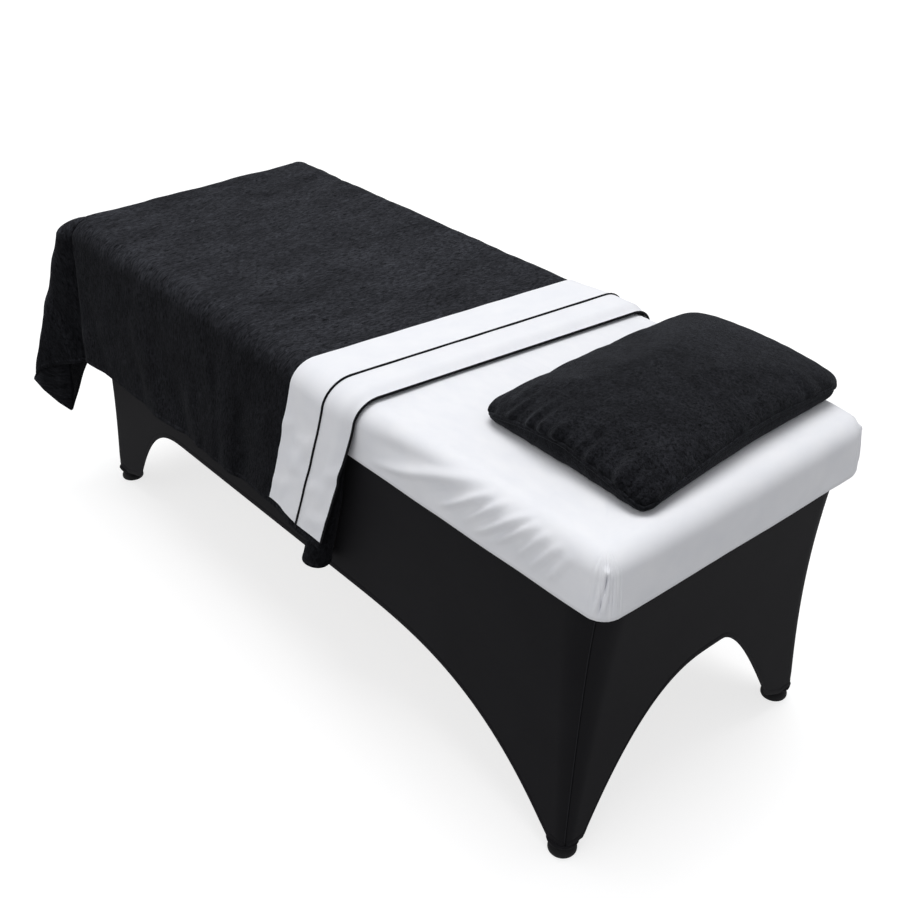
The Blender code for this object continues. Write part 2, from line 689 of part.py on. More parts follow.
def drape(place, across, height):
    """Bedding point from its place on the flat cloth, at a height over the fitted sheet.

    place runs along the table and across over its width, both measured on the cloth from the
    table's middle, so what passes the top's flat part hangs over the edge.
    """
    side = -1 if across < 0 else 1
    past_end = max(-place - FLAT_HALF_LENGTH, 0.0)
    past_side = max(abs(across) - FLAT_HALF_WIDTH, 0.0)
    drop = math.hypot(past_end, past_side)
    x = max(place, -FLAT_HALF_LENGTH)
    y = min(abs(across), FLAT_HALF_WIDTH)
    share = math.atan2(past_end, past_side) / (math.pi / 2) if drop else 0.0
    heading = math.pi / 2 * ease(share)
    rise = fold_rise(place, 0.0)
    radius = SHEET_EDGE + height + rise
    turn = min(drop / SHEET_EDGE, math.pi / 2)
    x -= radius * math.sin(turn) * math.sin(heading)
    y += radius * math.sin(turn) * math.cos(heading)
    z = SHEET_TOP + radius * math.cos(turn) - SHEET_EDGE
    hanging = hang(drop)
    if hanging:
        to_end, to_side = corner_tilt(share)
        x -= hanging * math.sin(to_end)
        y += hanging * math.sin(to_side)
        z -= hanging * math.sqrt(1 - math.sin(to_end) ** 2 - math.sin(to_side) ** 2)
        swell = ease(hanging / BLANKET_SIDE_DROP) * (1 - share)
        wave = 0.5 + 0.5 * math.sin(2 * math.pi * (place + hanging) / BLANKET_WAVE_LENGTH)
        y += BLANKET_WAVE_DEPTH * swell * wave + fold_rise(place, past_side) - rise
    x += head_shift(place, across)
    return Vector((x, side * y, z))


def steps(start, end, count):
    """Evenly spaced values from start to end, both included."""
    return [blend(start, end, k / count) for k in range(count + 1)]


def over_the_edge(length):
    """Cloth lengths past the flat top: close together round the edge, then down to the hem."""
    return steps(0.0, EDGE_WRAP, EDGE_STEPS)[1:] + steps(EDGE_WRAP, length, DRAPE_ROWS)[1:]


def head_places():
    """Places along the cloth over the turned-under edge, shared by the blanket and the band."""
    return steps(BLANKET_HEAD_EDGE, BAND_FOOT_EDGE, HEAD_ROWS)


def across_places(drop):
    """Places across the cloth, from the front hem over the top to the back hem."""
    hanging = [FLAT_HALF_WIDTH + length for length in over_the_edge(drop)]
    top = steps(-FLAT_HALF_WIDTH, FLAT_HALF_WIDTH, TOP_COLUMNS)
    return [-y for y in reversed(hanging)] + top + hanging


def hanging_line(place, across, heading, length):
    """Cloth places from the flat top's border out to the hem, heading from the side to the foot end."""
    side = -1 if across < 0 else 1
    return [
        (place - drop * math.sin(heading), across + side * drop * math.cos(heading))
        for drop in [0.0] + over_the_edge(length)
    ]


def corner_lines(side):
    """Lines that fan out over one foot corner of the blanket, each as long as the square cloth allows."""
    lines = []
    for k in range(1, CORNER_LINES):
        heading = math.pi / 2 * k / CORNER_LINES
        length = min(BLANKET_SIDE_DROP / math.cos(heading), BLANKET_END_DROP / math.sin(heading))
        lines.append(hanging_line(-FLAT_HALF_LENGTH, side * FLAT_HALF_WIDTH, heading, length))
    return lines


def between_lines(lines):
    """Faces between neighbouring lines of cloth places, with repeated corners dropped."""
    faces = []
    for first, second in zip(lines, lines[1:]):
        for k in range(len(first) - 1):
            corners = (first[k], first[k + 1], second[k + 1], second[k])
            faces.append(tuple(dict.fromkeys(corners)))
    return faces


def cloth_solid(name, faces, height, thickness, surface):
    """Drape faces of flat cloth over the table and give them half a thickness to each side."""
    places = list(dict.fromkeys(place for face in faces for place in face))
    number = {place: k for k, place in enumerate(places)}
    cloth = bmesh.new()
    corners = [cloth.verts.new(drape(*place, height)) for place in places]
    for face in faces:
        cloth.faces.new([corners[number[place]] for place in face])
    bmesh.ops.recalc_face_normals(cloth, faces=cloth.faces)
    cloth.normal_update()
    outer = [corner.co + corner.normal * (thickness / 2) for corner in corners]
    inner = [corner.co - corner.normal * (thickness / 2) for corner in corners]
    skins = []
    for face in cloth.faces:
        skin = [corners.index(corner) for corner in face.verts]
        skins.append(tuple(skin))
        skins.append(tuple(len(places) + k for k in reversed(skin)))
    for edge in cloth.edges:
        if edge.is_boundary:
            first, second = (corners.index(corner) for corner in edge.verts)
            skins.append((first, second, len(places) + second, len(places) + first))
    cloth.free()
    smooth_shading(add_object(name, outer + inner, skins, surface), SOFT_ANGLE)


def build_blanket(fleece):
    """Blanket draped over the foot of the table, with a cone fold hanging at each foot corner."""
    along = head_places() + steps(BAND_FOOT_EDGE, -FLAT_HALF_LENGTH, BLANKET_ROWS)[1:]
    over = steps(-FLAT_HALF_WIDTH, FLAT_HALF_WIDTH, TOP_COLUMNS)
    top = [[(x, y) for y in over] for x in along]
    skirt = [hanging_line(x, -FLAT_HALF_WIDTH, 0.0, BLANKET_SIDE_DROP) for x in along]
    skirt += corner_lines(-1)
    skirt += [hanging_line(-FLAT_HALF_LENGTH, y, math.pi / 2, BLANKET_END_DROP) for y in over]
    skirt += reversed(corner_lines(1))
    skirt += [hanging_line(x, FLAT_HALF_WIDTH, 0.0, BLANKET_SIDE_DROP) for x in reversed(along)]
    faces = between_lines(top) + between_lines(skirt)
    cloth_solid("blanket", faces, SOFT_GAP + BLANKET_THICKNESS / 2, BLANKET_THICKNESS, fleece)


def build_underfold(fleece):
    """Head edge of the blanket turned under: flat across the top, a loose roll down each side."""
    rings = []
    for across in across_places(FOLD_DROP):
        drop = max(abs(across) - FLAT_HALF_WIDTH, 0.0)
        hanging = hang(drop)
        turn = min(drop / SHEET_EDGE, math.pi / 2)
        outside = FOLD_TOP_THICKNESS + hanging * math.sin(BLANKET_FLARE) + fold_swell(drop)
        inside = -FOLD_TUCK * ease((hanging - FOLD_TUCK_STARTS) / FOLD_TUCK_LENGTH)
        half = (outside - inside) / 2
        radius = SHEET_EDGE + SOFT_GAP + (outside + inside) / 2
        side = -1 if across < 0 else 1
        middle_x = FOLD_CENTRE + head_shift(BLANKET_HEAD_EDGE, across)
        middle_y = min(abs(across), FLAT_HALF_WIDTH) + radius * math.sin(turn)
        middle_z = SHEET_TOP + radius * math.cos(turn) - SHEET_EDGE - hanging
        ring = []
        for k in range(BOLT_SIDES):
            angle = 2 * math.pi * k / BOLT_SIDES
            out = half * math.sin(angle)
            y = middle_y + out * math.sin(turn)
            z = middle_z + out * math.cos(turn)
            ring.append((middle_x + FOLD_HALF_WIDTH * math.cos(angle), side * y, z))
        rings.append(ring)
    ring_solid("blanket_underfold", rings, fleece)


def build_band(cotton, cord):
    """White turn-down band over the blanket's head end, with a piping down its middle and its edge."""
    height = SOFT_GAP + BLANKET_THICKNESS + SOFT_GAP + BAND_THICKNESS / 2
    places = [BAND_HEAD_EDGE] + head_places()
    lines = [[(x, y) for y in across_places(BAND_DROP)] for x in places]
    cloth_solid("turn_down_band", between_lines(lines), height, BAND_THICKNESS, cotton)
    over_band = height + BAND_THICKNESS / 2 + PIPING_RADIUS + SOFT_GAP
    build_piping("band_piping_middle", MIDDLE_PIPING, over_band, cord)
    build_piping("band_piping_edge", BAND_HEAD_EDGE - PIPING_RADIUS, over_band, cord)


def build_piping(name, place, height, cord):
    """Round piping cord that follows the band from hem to hem."""
    line = [drape(place, across, height) for across in across_places(BAND_DROP)]
    rings = []
    for k, point in enumerate(line):
        along = (line[min(k + 1, len(line) - 1)] - line[max(k - 1, 0)]).normalized()
        out = Vector((1, 0, 0)).cross(along).normalized()
        sideways = along.cross(out)
        ring = []
        for corner in range(PIPING_SIDES):
            angle = 2 * math.pi * corner / PIPING_SIDES
            ring.append(point + (out * math.sin(angle) + sideways * math.cos(angle)) * PIPING_RADIUS)
        rings.append(ring)
    ring_solid(name, rings, cord)


def build_pillow(velvet):
    """Filled pillow: crowned, with its sides drawn in between pinched, drooping corners."""
    bottom = SHEET_TOP + SOFT_GAP
    top_skin = []
    under_skin = []
    for i in range(PILLOW_CELLS + 1):
        u = -math.cos(math.pi * i / PILLOW_CELLS)
        top_skin.append([])
        under_skin.append([])
        for j in range(PILLOW_CELLS + 1):
            v = -math.cos(math.pi * j / PILLOW_CELLS)
            x = PILLOW_CENTRE[0] + u * (PILLOW_LENGTH / 2 - PILLOW_DRAWN_IN * (1 - v * v) * u * u)
            y = PILLOW_CENTRE[1] + v * (PILLOW_WIDTH / 2 - PILLOW_DRAWN_IN * (1 - u * u) * v * v)
            fullness = math.sqrt(max((1 - u ** PILLOW_SQUARENESS) * (1 - v ** PILLOW_SQUARENESS), 0.0))
            sag = min(PILLOW_FLAT_UNDERSIDE * fullness, 1.0)
            lower = bottom + PILLOW_UNDERSIDE * (1 - sag) - PILLOW_CORNER_DROOP * (u * v) ** 2
            upper = bottom + PILLOW_UNDERSIDE - PILLOW_CORNER_DROOP * (u * v) ** 2
            upper += PILLOW_SEAM + PILLOW_CROWN * fullness
            top_skin[-1].append((x, y, upper))
            under_skin[-1].append((x, y, max(lower, bottom)))
    sheet_solid("pillow", top_skin, under_skin, velvet, (*PILLOW_CENTRE, SHEET_TOP))


def centre_on_origin():
    """Move the whole table so that its outline is centred over the origin."""
    pieces = [thing for thing in bpy.data.objects if not thing.hide_render]
    bpy.context.view_layer.update()
    points = [thing.matrix_world @ vertex.co for thing in pieces for vertex in thing.data.vertices]
    for axis in (0, 1):
        values = [point[axis] for point in points]
        middle = (min(values) + max(values)) / 2
        for thing in bpy.data.objects:
            thing.location[axis] -= middle


def main():
    clear_scene()
    cotton = material("white_cotton", (0.86, 0.87, 0.90), 0.75)
    fleece = material("black_fleece", (0.022, 0.023, 0.027), 0.95)
    velvet = material("black_velvet", (0.014, 0.015, 0.018), 0.90)
    stretch = material("black_stretch_fabric", (0.012, 0.012, 0.014), 0.80)
    cord = material("black_piping", (0.008, 0.008, 0.010), 0.85)
    foam = material("foam", (0.72, 0.68, 0.52), 0.95)
    vinyl = material("cream_vinyl", (0.62, 0.56, 0.46), 0.45)
    ply = material("birch_plywood", (0.58, 0.44, 0.28), 0.60)
    timber = material("beech", (0.50, 0.33, 0.18), 0.50)
    lacquer = material("black_lacquer", (0.012, 0.012, 0.013), 0.40)
    steel = material("black_steel", (0.030, 0.030, 0.032), 0.45, 0.6)
    zinc = material("zinc_plate", (0.62, 0.63, 0.65), 0.35, 1.0)
    brass = material("brass", (0.72, 0.52, 0.22), 0.35, 1.0)
    rubber = material("black_rubber", (0.010, 0.010, 0.010), 0.70)
    build_pad(foam, vinyl, cotton)
    build_frame(ply, timber)
    build_legs(timber, lacquer, steel, zinc, brass, rubber)
    build_cover(stretch)
    build_blanket(fleece)
    build_underfold(fleece)
    build_band(cotton, cord)
    build_pillow(velvet)
    centre_on_origin()


main()
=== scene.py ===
# Looks of a dressed massage table: cloth, padding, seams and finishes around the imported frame.
# Metres, +Z up, head end towards +X. Lengths along the table are measured from its middle.

import math

import bpy
import numpy as np
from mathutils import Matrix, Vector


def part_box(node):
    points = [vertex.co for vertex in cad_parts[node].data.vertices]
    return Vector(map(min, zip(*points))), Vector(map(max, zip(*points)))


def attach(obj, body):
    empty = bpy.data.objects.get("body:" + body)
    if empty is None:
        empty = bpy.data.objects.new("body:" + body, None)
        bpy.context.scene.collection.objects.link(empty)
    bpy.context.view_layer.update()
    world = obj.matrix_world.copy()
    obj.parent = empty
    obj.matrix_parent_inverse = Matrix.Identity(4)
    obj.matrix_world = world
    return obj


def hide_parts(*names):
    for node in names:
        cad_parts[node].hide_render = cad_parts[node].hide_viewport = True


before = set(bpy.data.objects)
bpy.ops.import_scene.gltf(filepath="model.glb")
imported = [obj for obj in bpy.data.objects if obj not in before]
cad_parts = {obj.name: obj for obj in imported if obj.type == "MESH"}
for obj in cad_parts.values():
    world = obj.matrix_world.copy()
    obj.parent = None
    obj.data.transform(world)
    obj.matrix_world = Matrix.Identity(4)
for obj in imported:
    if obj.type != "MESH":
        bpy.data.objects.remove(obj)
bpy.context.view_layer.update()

# Camera, found by fitting the table's edges in the photograph
CAMERA_PLACE = (1.96275, -1.512, 1.8833)
CAMERA_AZIMUTH = 49.644
CAMERA_ELEVATION = 32.067
CAMERA_LENS = 49.275
CAMERA_SENSOR = 36.0

# Padded top and its fitted sheet
SHEET_EDGE = 0.0425
SHEET_THICKNESS = 0.0016
SHEET_CORNER_RADIUS = 0.0450
CORNER_SINK = 0.012
CORNER_SINK_REACH = 0.085
SHEET_HEM_RADIUS = 0.0205
SHEET_HEM_TURN = math.radians(72)
SHEET_HEM_BELOW = 0.0031
SHEET_HEM = 0.010
SHEET_HEM_RISE = 0.0004
SHEET_HEM_FADES_OVER = 0.003
SHEET_CROWN = 0.0012
PAD_CLEARANCE = 0.0040
PAD_SIDE_TUCK = 0.0050
PAD_UNDER_RADIUS = 0.016
PAD_UNDER_STARTS = 0.030
PAD_UNDER_DOWN = 0.3
PAD_WELT_RADIUS = 0.0014
PAD_WELT_INSET = 0.0165
PAD_WELT_CORNER_INSET = 0.020
PAD_WELT_HEIGHT = 0.0012

# Points round the top's outline, and rows over its flat part, round edge, side, lower edge and underside
LONG_POINTS = 400
SHORT_POINTS = 130
ARC_POINTS = 76
RING_POINTS = 2 * (LONG_POINTS + SHORT_POINTS) + 4 * ARC_POINTS
FLAT_ROWS = 16
EDGE_ROWS = 16
SIDE_ROWS = 20
LOWER_ROWS = 12
UNDER_ROWS = 10
FLAT_ENDS_BEFORE_EDGE = 0.004
MIDDLE_STRIP = 0.02
LEAST_CORNER_RADIUS = 0.006

# Unevenness of sheet and pad: height, wavelength and seed
SHEET_GATHERS = (0.0012, 0.060, 5)
SHEET_SLACK = (0.0008, 0.16, 3)
SHEET_TOP_UNEVEN = (0.0006, 0.22, 11)
PAD_UNEVEN = (0.0003, 0.12, 21)
GATHER_STRETCH = 0.35
FRONT_GATHERS_LESS = 0.55
HEM_CALM = 0.9
# Lengths of cloth down from the flat top where each comes in: start, and length until it is full
GATHERS_FROM = (0.075, 0.070)
SLACK_FROM = (0.0, 0.060)
HEM_CALM_FROM = (0.105, 0.035)
PAD_TUCK_FROM = (0.030, 0.050)
PAD_TUCK_ENDS = (0.140, 0.040)
PAD_UNEVEN_ENDS = 0.2
# The top's crown, by the distance in from its sides
CROWN_FROM = (0.040, 0.250)

# Wrinkles on the front of the sheet: start and end as (along, down from the top's flat part),
# then half width and height; a negative height is a hollow
SHEET_WRINKLES = (
    ((0.300, 0.146), (0.620, 0.026), 0.011, 0.0088),
    ((0.345, 0.078), (0.530, 0.046), 0.018, -0.0062),
    ((0.524, 0.128), (0.654, 0.036), 0.0070, 0.0088),
    ((0.597, 0.116), (0.690, 0.036), 0.0070, 0.0080),
    ((0.610, 0.142), (0.745, 0.032), 0.0075, 0.0094),
    ((0.665, 0.130), (0.765, 0.040), 0.0070, 0.0088),
    ((0.724, 0.124), (0.792, 0.044), 0.0065, 0.0078),
    ((0.760, 0.130), (0.822, 0.050), 0.0065, 0.0062),
    ((0.500, 0.110), (0.600, 0.052), 0.0090, -0.0036),
    ((0.575, 0.125), (0.665, 0.048), 0.0080, -0.0038),
    ((0.655, 0.128), (0.745, 0.048), 0.0080, -0.0038),
    ((0.715, 0.124), (0.780, 0.056), 0.0070, -0.0032),
    ((0.798, 0.138), (0.846, 0.060), 0.0065, 0.0046),
)

# Sewn dart at each corner of the sheet: heading and sway in degrees, and where along it each comes in
DART_HEADING = 42.0
DART_SWAY = 12.0
DART_SWAY_FROM = (0.060, 0.080)
DART_FROM = (0.058, 0.008)
DART_ENDS = (0.122, 0.022)
DART_SLIT_DEPTH = 0.0034
DART_SLIT_WIDTH = 0.0024
DART_LIP_HEIGHT = 0.0028
DART_LIP_ASIDE = 0.0068
DART_LIP_WIDTH = 0.0044
DART_EAR_HEIGHT = 0.0060
DART_EAR_ASIDE = 0.001
DART_EAR_WIDTH = 0.0070
DART_EAR_DOWN = 0.056
DART_EAR_LENGTH = 0.008
CORNER_LEAST_TURN = 0.02

# Blanket, its turned-under head edge, and the white band
BLANKET_THICKNESS = 0.0046
BLANKET_HEAD_EDGE = 0.328
BLANKET_SIDE_DROP = 0.385
BLANKET_END_DROP = 0.430
BLANKET_HEIGHT = 0.0045
BLANKET_CORNER_RADIUS = 0.030
FOLD_CENTRE = 0.292
FOLD_HALF_WIDTH = 0.034
FOLD_TOP_THICKNESS = 0.005
FOLD_SWELL = 0.010
FOLD_TUCK = 0.014
FOLD_TUCK_STARTS = 0.100
FOLD_TUCK_LENGTH = 0.120
FOLD_DROP = 0.454
FOLD_CLEARANCE = 0.0015
FOLD_FLARE = math.radians(4.5)
FOLD_CLOTH = 0.0036
FOLD_LIFT = 0.002
FOLD_RIPPLE = 0.0008
FOLD_RIPPLE_FULL_AT = 0.2
FOLD_HEM_STRENGTH = 1.6
FOLD_CLOTH_RADIUS = 0.026
HEAD_SKEW = math.radians(5.71)
HEAD_SKEW_FADES_OVER = 0.600
SIDE_LEAN = 0.068
BAND_THICKNESS = 0.0020
BAND_FOOT_EDGE = 0.125
BAND_HEAD_EDGE = 0.334
BAND_DROP = 0.362
BAND_HEIGHT = 0.01025
BAND_FALL = 0.0095
BAND_FALL_LENGTH = 0.034
BAND_CREASE_DEPTH = 0.0008
PIPING_RADIUS = 0.0026
# Place along the table and height over the sheet of each piping's middle
PIPINGS = {"middle": (0.246, 0.0120), "edge": (0.3335, 0.0108)}
HEM_WIDTH = 0.012
HEM_RISE = 0.0005
HEM_STEP = 0.0015
HEM_GROOVE = 0.0009
HEM_GROOVE_WIDTH = 0.0009
HEM_FADES_OVER = 0.003
# Distances of rows of points from a hem's stitching, and from a cut edge
STITCHING_ROWS = (0.0030, 0.0012, 0.0, -0.0012)
CUT_EDGE_ROWS = (0.0040, 0.0022, 0.0012, 0.0005, 0.0)
BLANKET_HEAD_ROWS = (0.0, 0.0006, 0.0015, 0.0030, 0.0060)
BLANKET_HEAD_STRIP = 0.010
BAND_EDGE_ROWS = (0.0, 0.0004, 0.0010, 0.0025)
BAND_EDGE_STRIP = 0.006
# Numbers of rows along, across, round the table's edge and down the hanging cloth
WRAP_ROWS = 10
BLANKET_ROWS = 116
BLANKET_COLUMNS = 56
BLANKET_HANGING_ROWS = 32
BLANKET_CORNER_LINES = 64
BAND_ROWS = 34
BAND_HANGING_ROWS = 40
PIPING_HANGING_ROWS = 60
ACROSS_COLUMNS = 48
FOLD_HANGING_ROWS = 30
FOLD_SIDES = 44

# Hanging folds of the blanket: height, wavelength, slant and phase; then unevenness of the cloths
BLANKET_FOLDS = (
    (0.0040, 0.340, -0.45, 0.6),
    (0.0026, 0.197, -0.45, 2.1),
    (0.0014, 0.108, -0.25, 4.0),
)
BLANKET_FOLDS_FULL_AT = 0.30
BLANKET_CALM_BY_BAND = 0.14
BLANKET_UNEVEN = ((0.0010, 0.17, 31), (0.0006, 0.06, 32))
BAND_UNEVEN = (0.0003, 0.11, 43)
# Creases on the band's hanging ends: stretch down the cloth, then height, wavelength and seed
BAND_CREASES = ((1.0, (0.0018, 0.085, 41)), (0.6, (0.0008, 0.038, 42)))
BAND_CREASE_SLANT = 0.55
BAND_CREASES_FULL_AT = 0.12
BAND_SEAM_CALM = 0.8
BAND_SEAM_CALM_WIDTH = 0.012

# Corner fold of the blanket: share of the corner's quarter turn, then the hanging cloth's
# tilt in degrees towards the foot end and towards the side
CORNER_FOLD = np.array((
    (0.000, 0.0, 4.5),
    (0.098, 1.3, -2.7),
    (0.507, 22.0, 13.5),
    (0.556, 8.9, 7.4),
    (0.790, 21.0, -6.5),
    (1.000, 4.5, 0.0),
))
CORNER_REACH = 0.094
CORNER_BOW_FRONT = 0.038
CORNER_BOW_BACK = 0.014
CORNER_BOW_AT = 0.53
CORNER_BOW_SPREAD = 0.30
CORNER_BOW_STARTS_OVER = 0.095
CORNER_BOW_LENGTH = 0.460

# Stretch cover
COVER_THICKNESS = 0.0022
COVER_FLARE = 2.5
COVER_WAIST = 0.008
COVER_FOOT_CORNER_RADIUS = 0.026
COVER_FOOT_REACH_END = 0.030
COVER_FOOT_REACH_SIDE = 0.0265
COVER_STRIP_BOTTOM = 0.0625
COVER_TIP_BOTTOM = 0.037
COVER_TOP_WIDTH = 0.3472
COVER_TOP_RADIUS = 0.0762
COVER_SHOULDER = 0.0152
COVER_HEM = 0.014
COVER_SIDE_COLUMNS = 144
COVER_END_COLUMNS = 96
COVER_ROWS = 30
# Rows of points by a panel's seams, as shares of its width, and by its top edge
COVER_SEAM_SHARES = (0.0, 0.0006, 0.0016, 0.0030)
COVER_TOP_DROPS = (0.0, 0.0004, 0.0012, 0.0030)
SEAM_GAP = 0.0004
SEAM_SINK = 0.0006
SEAM_CORD_RADIUS = 0.0013
SEAM_TOP_GAP = 0.004
SEAM_TIP_GAP = 0.003
SEAM_ROWS = 60
# Arched hems, each half: where the arch starts and ends, the hem's height, the sweep's power, and the
# steepest fall allowed past its end
SIDE_ARCH_TO_FOOT = (0.480, 0.735, 0.2705, 2.8, 0.35)
SIDE_ARCH_TO_HEAD = (0.200, 0.8056, 0.2705, 3.15, 5.0)
END_ARCH_TO_FRONT = (0.000, 0.290, 0.3345, 2.4, 5.0)
END_ARCH_TO_BACK = (0.050, 0.245, 0.3345, 1.5, 0.50)
# Gathered sleeve at each foot, from its top inside the cover down to its hem: radius and height
SLEEVE_SECTION = (
    (0.0236, 0.0620), (0.0236, 0.0430), (0.0252, 0.0385), (0.0292, 0.0368), (0.0318, 0.0355),
    (0.0326, 0.0340), (0.0321, 0.0322), (0.0303, 0.0299), (0.0282, 0.0277), (0.0266, 0.0257),
    (0.0258, 0.0239), (0.0258, 0.0222), (0.0262, 0.0212), (0.0258, 0.0205),
)
SLEEVE_SIDES = 96
SLEEVE_THICKNESS = 0.8 * COVER_THICKNESS
SLEEVE_CLOTH_RADIUS = 0.033
# Gathers of the sleeve: height, level, number round the foot and phase
SLEEVE_GATHERS = ((0.0007, 0.028, 22, 0.0), (0.0004, 0.034, 9, 1.0))
SLEEVE_GATHER_REACH = 0.005

# Levelling feet
FOOT_SECTION = (
    (0.0004, 0.0002), (0.0255, 0.0002), (0.0272, 0.0010), (0.0282, 0.0028),
    (0.0285, 0.0050), (0.0284, 0.0075), (0.0277, 0.0100), (0.0262, 0.0124),
    (0.0241, 0.0142), (0.0222, 0.0156), (0.0208, 0.0172), (0.0201, 0.0190),
    (0.0200, 0.0215), (0.0200, 0.0262), (0.0188, 0.0274), (0.0060, 0.0274),
)
FOOT_SIDES = 64

# Pillow
PILLOW_FLAT = (0.418, 0.622)
PILLOW_SIZE = (0.388, 0.582)
PILLOW_CENTRE = (0.674, 0.068)
PILLOW_CORNER_RADIUS = 0.036
PILLOW_CELL = 0.0075
PILLOW_CROWN = 0.060
PILLOW_SEAM_HEIGHT = 0.039
PILLOW_SHEAR = (-0.052, -0.030)
PILLOW_START_RISE = 0.012
PILLOW_START_GAP = 0.0002
PILLOW_FRAMES = 26
PILLOW_CLOTH = {
    "quality": 8, "mass": 0.25, "tension_stiffness": 30, "compression_stiffness": 30, "shear_stiffness": 12,
    "bending_stiffness": 0.35, "use_pressure": True, "uniform_pressure_force": 5.0,
}
PILLOW_PINCH = 0.06
PILLOW_FULLNESS = 0.70
# Round side of the pillow, above and below its seam: cloth taken up by the turn, and reach inwards
PILLOW_UPPER_SIDE = (0.050, 0.030)
PILLOW_UNDER_SIDE = (0.045, 0.017)
PILLOW_WELT = 0.0034
PILLOW_WELT_SIDES = 12
PILLOW_WELT_HEIGHT = 1.25
PILLOW_SEAM_SMOOTHING = 3
PILLOW_STITCH_RISE = 0.0037
PILLOW_STITCH_OUT = 0.0004
STITCH_PITCH = 0.0052
STITCH_LENGTH = 0.0036
STITCH_RADIUS = 0.0005
STITCH_SIDES = 6
# Rings along a stitch: share of its length, and share of its radius
STITCH_RINGS = ((0.0, 0.25), (0.18, 1.0), (0.82, 1.0), (1.0, 0.25))
TUBE_END_SIZE = 0.2
# Creases from the pillow's seam: depth, flat share, strength by side, reach, then wavelength and seed
PILLOW_WRINKLE = 0.0150
PILLOW_PUFF = 0.40
PILLOW_CREASES = {"front": 1.0, "back": 0.06, "head": 0.22, "foot": 0.03, "under": 0.15}
PILLOW_CREASE_STARTS = 0.012
PILLOW_CREASE_REACH = 0.075
PILLOW_CREASE_STRETCH = 0.15
PILLOW_SIDE_PUFFS = (1.0, 0.048, 51)
PILLOW_END_PUFFS = (1.0, 0.065, 52)
# How far each corner droops, by its side of the pillow along and across the table
PILLOW_DROOPS = {(1, -1): 0.032, (-1, -1): 0.028, (1, 1): 0.014, (-1, 1): 0.014}

# Light: strength of the surroundings, the floor's own white, and each lamp's strength, spread in
# degrees, angle from upright and heading
SURROUNDINGS = 0.455
SURROUNDINGS_TINT = (0.96, 0.97, 1.0, 1.0)
FLOOR_REACH = 30.0
FLOOR_TONE = 0.40
FLOOR_GLOW = 0.72
LAMPS = {
    "key": (1.80, 44.0, 12.0, 140.0),
    "fill": (0.44, 60.0, 62.0, 282.0),
}

# Colours, each pair the two ends of an uneven tone
COTTON = ((0.835, 0.845, 0.88), (0.88, 0.885, 0.91))
FLEECE = ((0.0014, 0.0014, 0.0018), (0.052, 0.054, 0.063))
VELVET = ((0.0005, 0.0006, 0.0008), (0.027, 0.028, 0.033))
STRETCH_FABRIC = ((0.0076, 0.0074, 0.0086), (0.0096, 0.0094, 0.0108))
PIPING = ((0.004, 0.004, 0.005), (0.009, 0.009, 0.011))
THREAD = ((0.012, 0.012, 0.014), (0.030, 0.030, 0.034))
VINYL = ((0.58, 0.52, 0.42), (0.65, 0.59, 0.49))
RUBBER = ((0.005, 0.005, 0.006), (0.010, 0.010, 0.011))
PLYWOOD = ((0.62, 0.46, 0.28), (0.50, 0.35, 0.19))
BEECH = ((0.56, 0.36, 0.21), (0.43, 0.25, 0.13))
LACQUER = ((0.010, 0.010, 0.011), (0.016, 0.016, 0.017))
COATED_STEEL = ((0.020, 0.020, 0.022), (0.034, 0.034, 0.036))
ZINC = ((0.58, 0.59, 0.60), (0.46, 0.47, 0.49))
BRASS = ((0.72, 0.53, 0.24), (0.60, 0.42, 0.17))

# Places read from the frame
sheet_low, sheet_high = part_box("fitted_sheet")
MIDDLE = (sheet_low.x + sheet_high.x) / 2
SHEET_TOP = sheet_high.z
SHEET_BOTTOM = sheet_low.z
HALF_LENGTH = (sheet_high.x - sheet_low.x) / 2
HALF_WIDTH = (sheet_high.y - sheet_low.y) / 2
FLAT_HALF_LENGTH = HALF_LENGTH - SHEET_EDGE
FLAT_HALF_WIDTH = HALF_WIDTH - SHEET_EDGE
EDGE_WRAP = SHEET_EDGE * math.pi / 2
BLANKET_LENGTH = BLANKET_HEAD_EDGE + FLAT_HALF_LENGTH + BLANKET_END_DROP
BLANKET_WIDTH = 2 * (FLAT_HALF_WIDTH + BLANKET_SIDE_DROP)
FOLD_RISE_LENGTH = FOLD_CENTRE - FOLD_HALF_WIDTH - BAND_FOOT_EDGE
COVER_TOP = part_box("cover_panel_front")[1].z
COVER_HALF_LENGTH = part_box("cover_panel_head")[1].x - MIDDLE
DECK_BOTTOM = COVER_TOP - COVER_SHOULDER
foot_low, foot_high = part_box("foot_pad_head_back")
FOOT_X = (foot_low.x + foot_high.x) / 2 - MIDDLE
FOOT_Y = (foot_low.y + foot_high.y) / 2
PILLOW_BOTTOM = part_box("pillow")[0].z

CORNERS = {
    "head_front": (1, -1),
    "head_back": (1, 1),
    "foot_front": (-1, -1),
    "foot_back": (-1, 1),
}


# Shapes as formulas

def ease(share):
    """Share from 0 to 1 with a soft start and end."""
    held = np.clip(share, 0.0, 1.0)
    return held * held * (3 - 2 * held)


def comes_in(value, starts, over):
    """Share from 0 to 1 that rises softly from a start over a length."""
    return ease((value - starts) / over)


def blend(first, second, share):
    """Value part of the way from one to another."""
    return first * (1 - share) + second * share


def steps(start, end, count):
    """Evenly spaced values from start to end, both included."""
    return [blend(start, end, k / count) for k in range(count + 1)]


def full_turn(sides):
    """Angles of evenly spaced points round a circle."""
    return 2 * math.pi * np.arange(sides) / sides


def bump_at(place, middle, width):
    """Soft bump of unit height around a place."""
    return np.exp(-((place - middle) / width) ** 2)


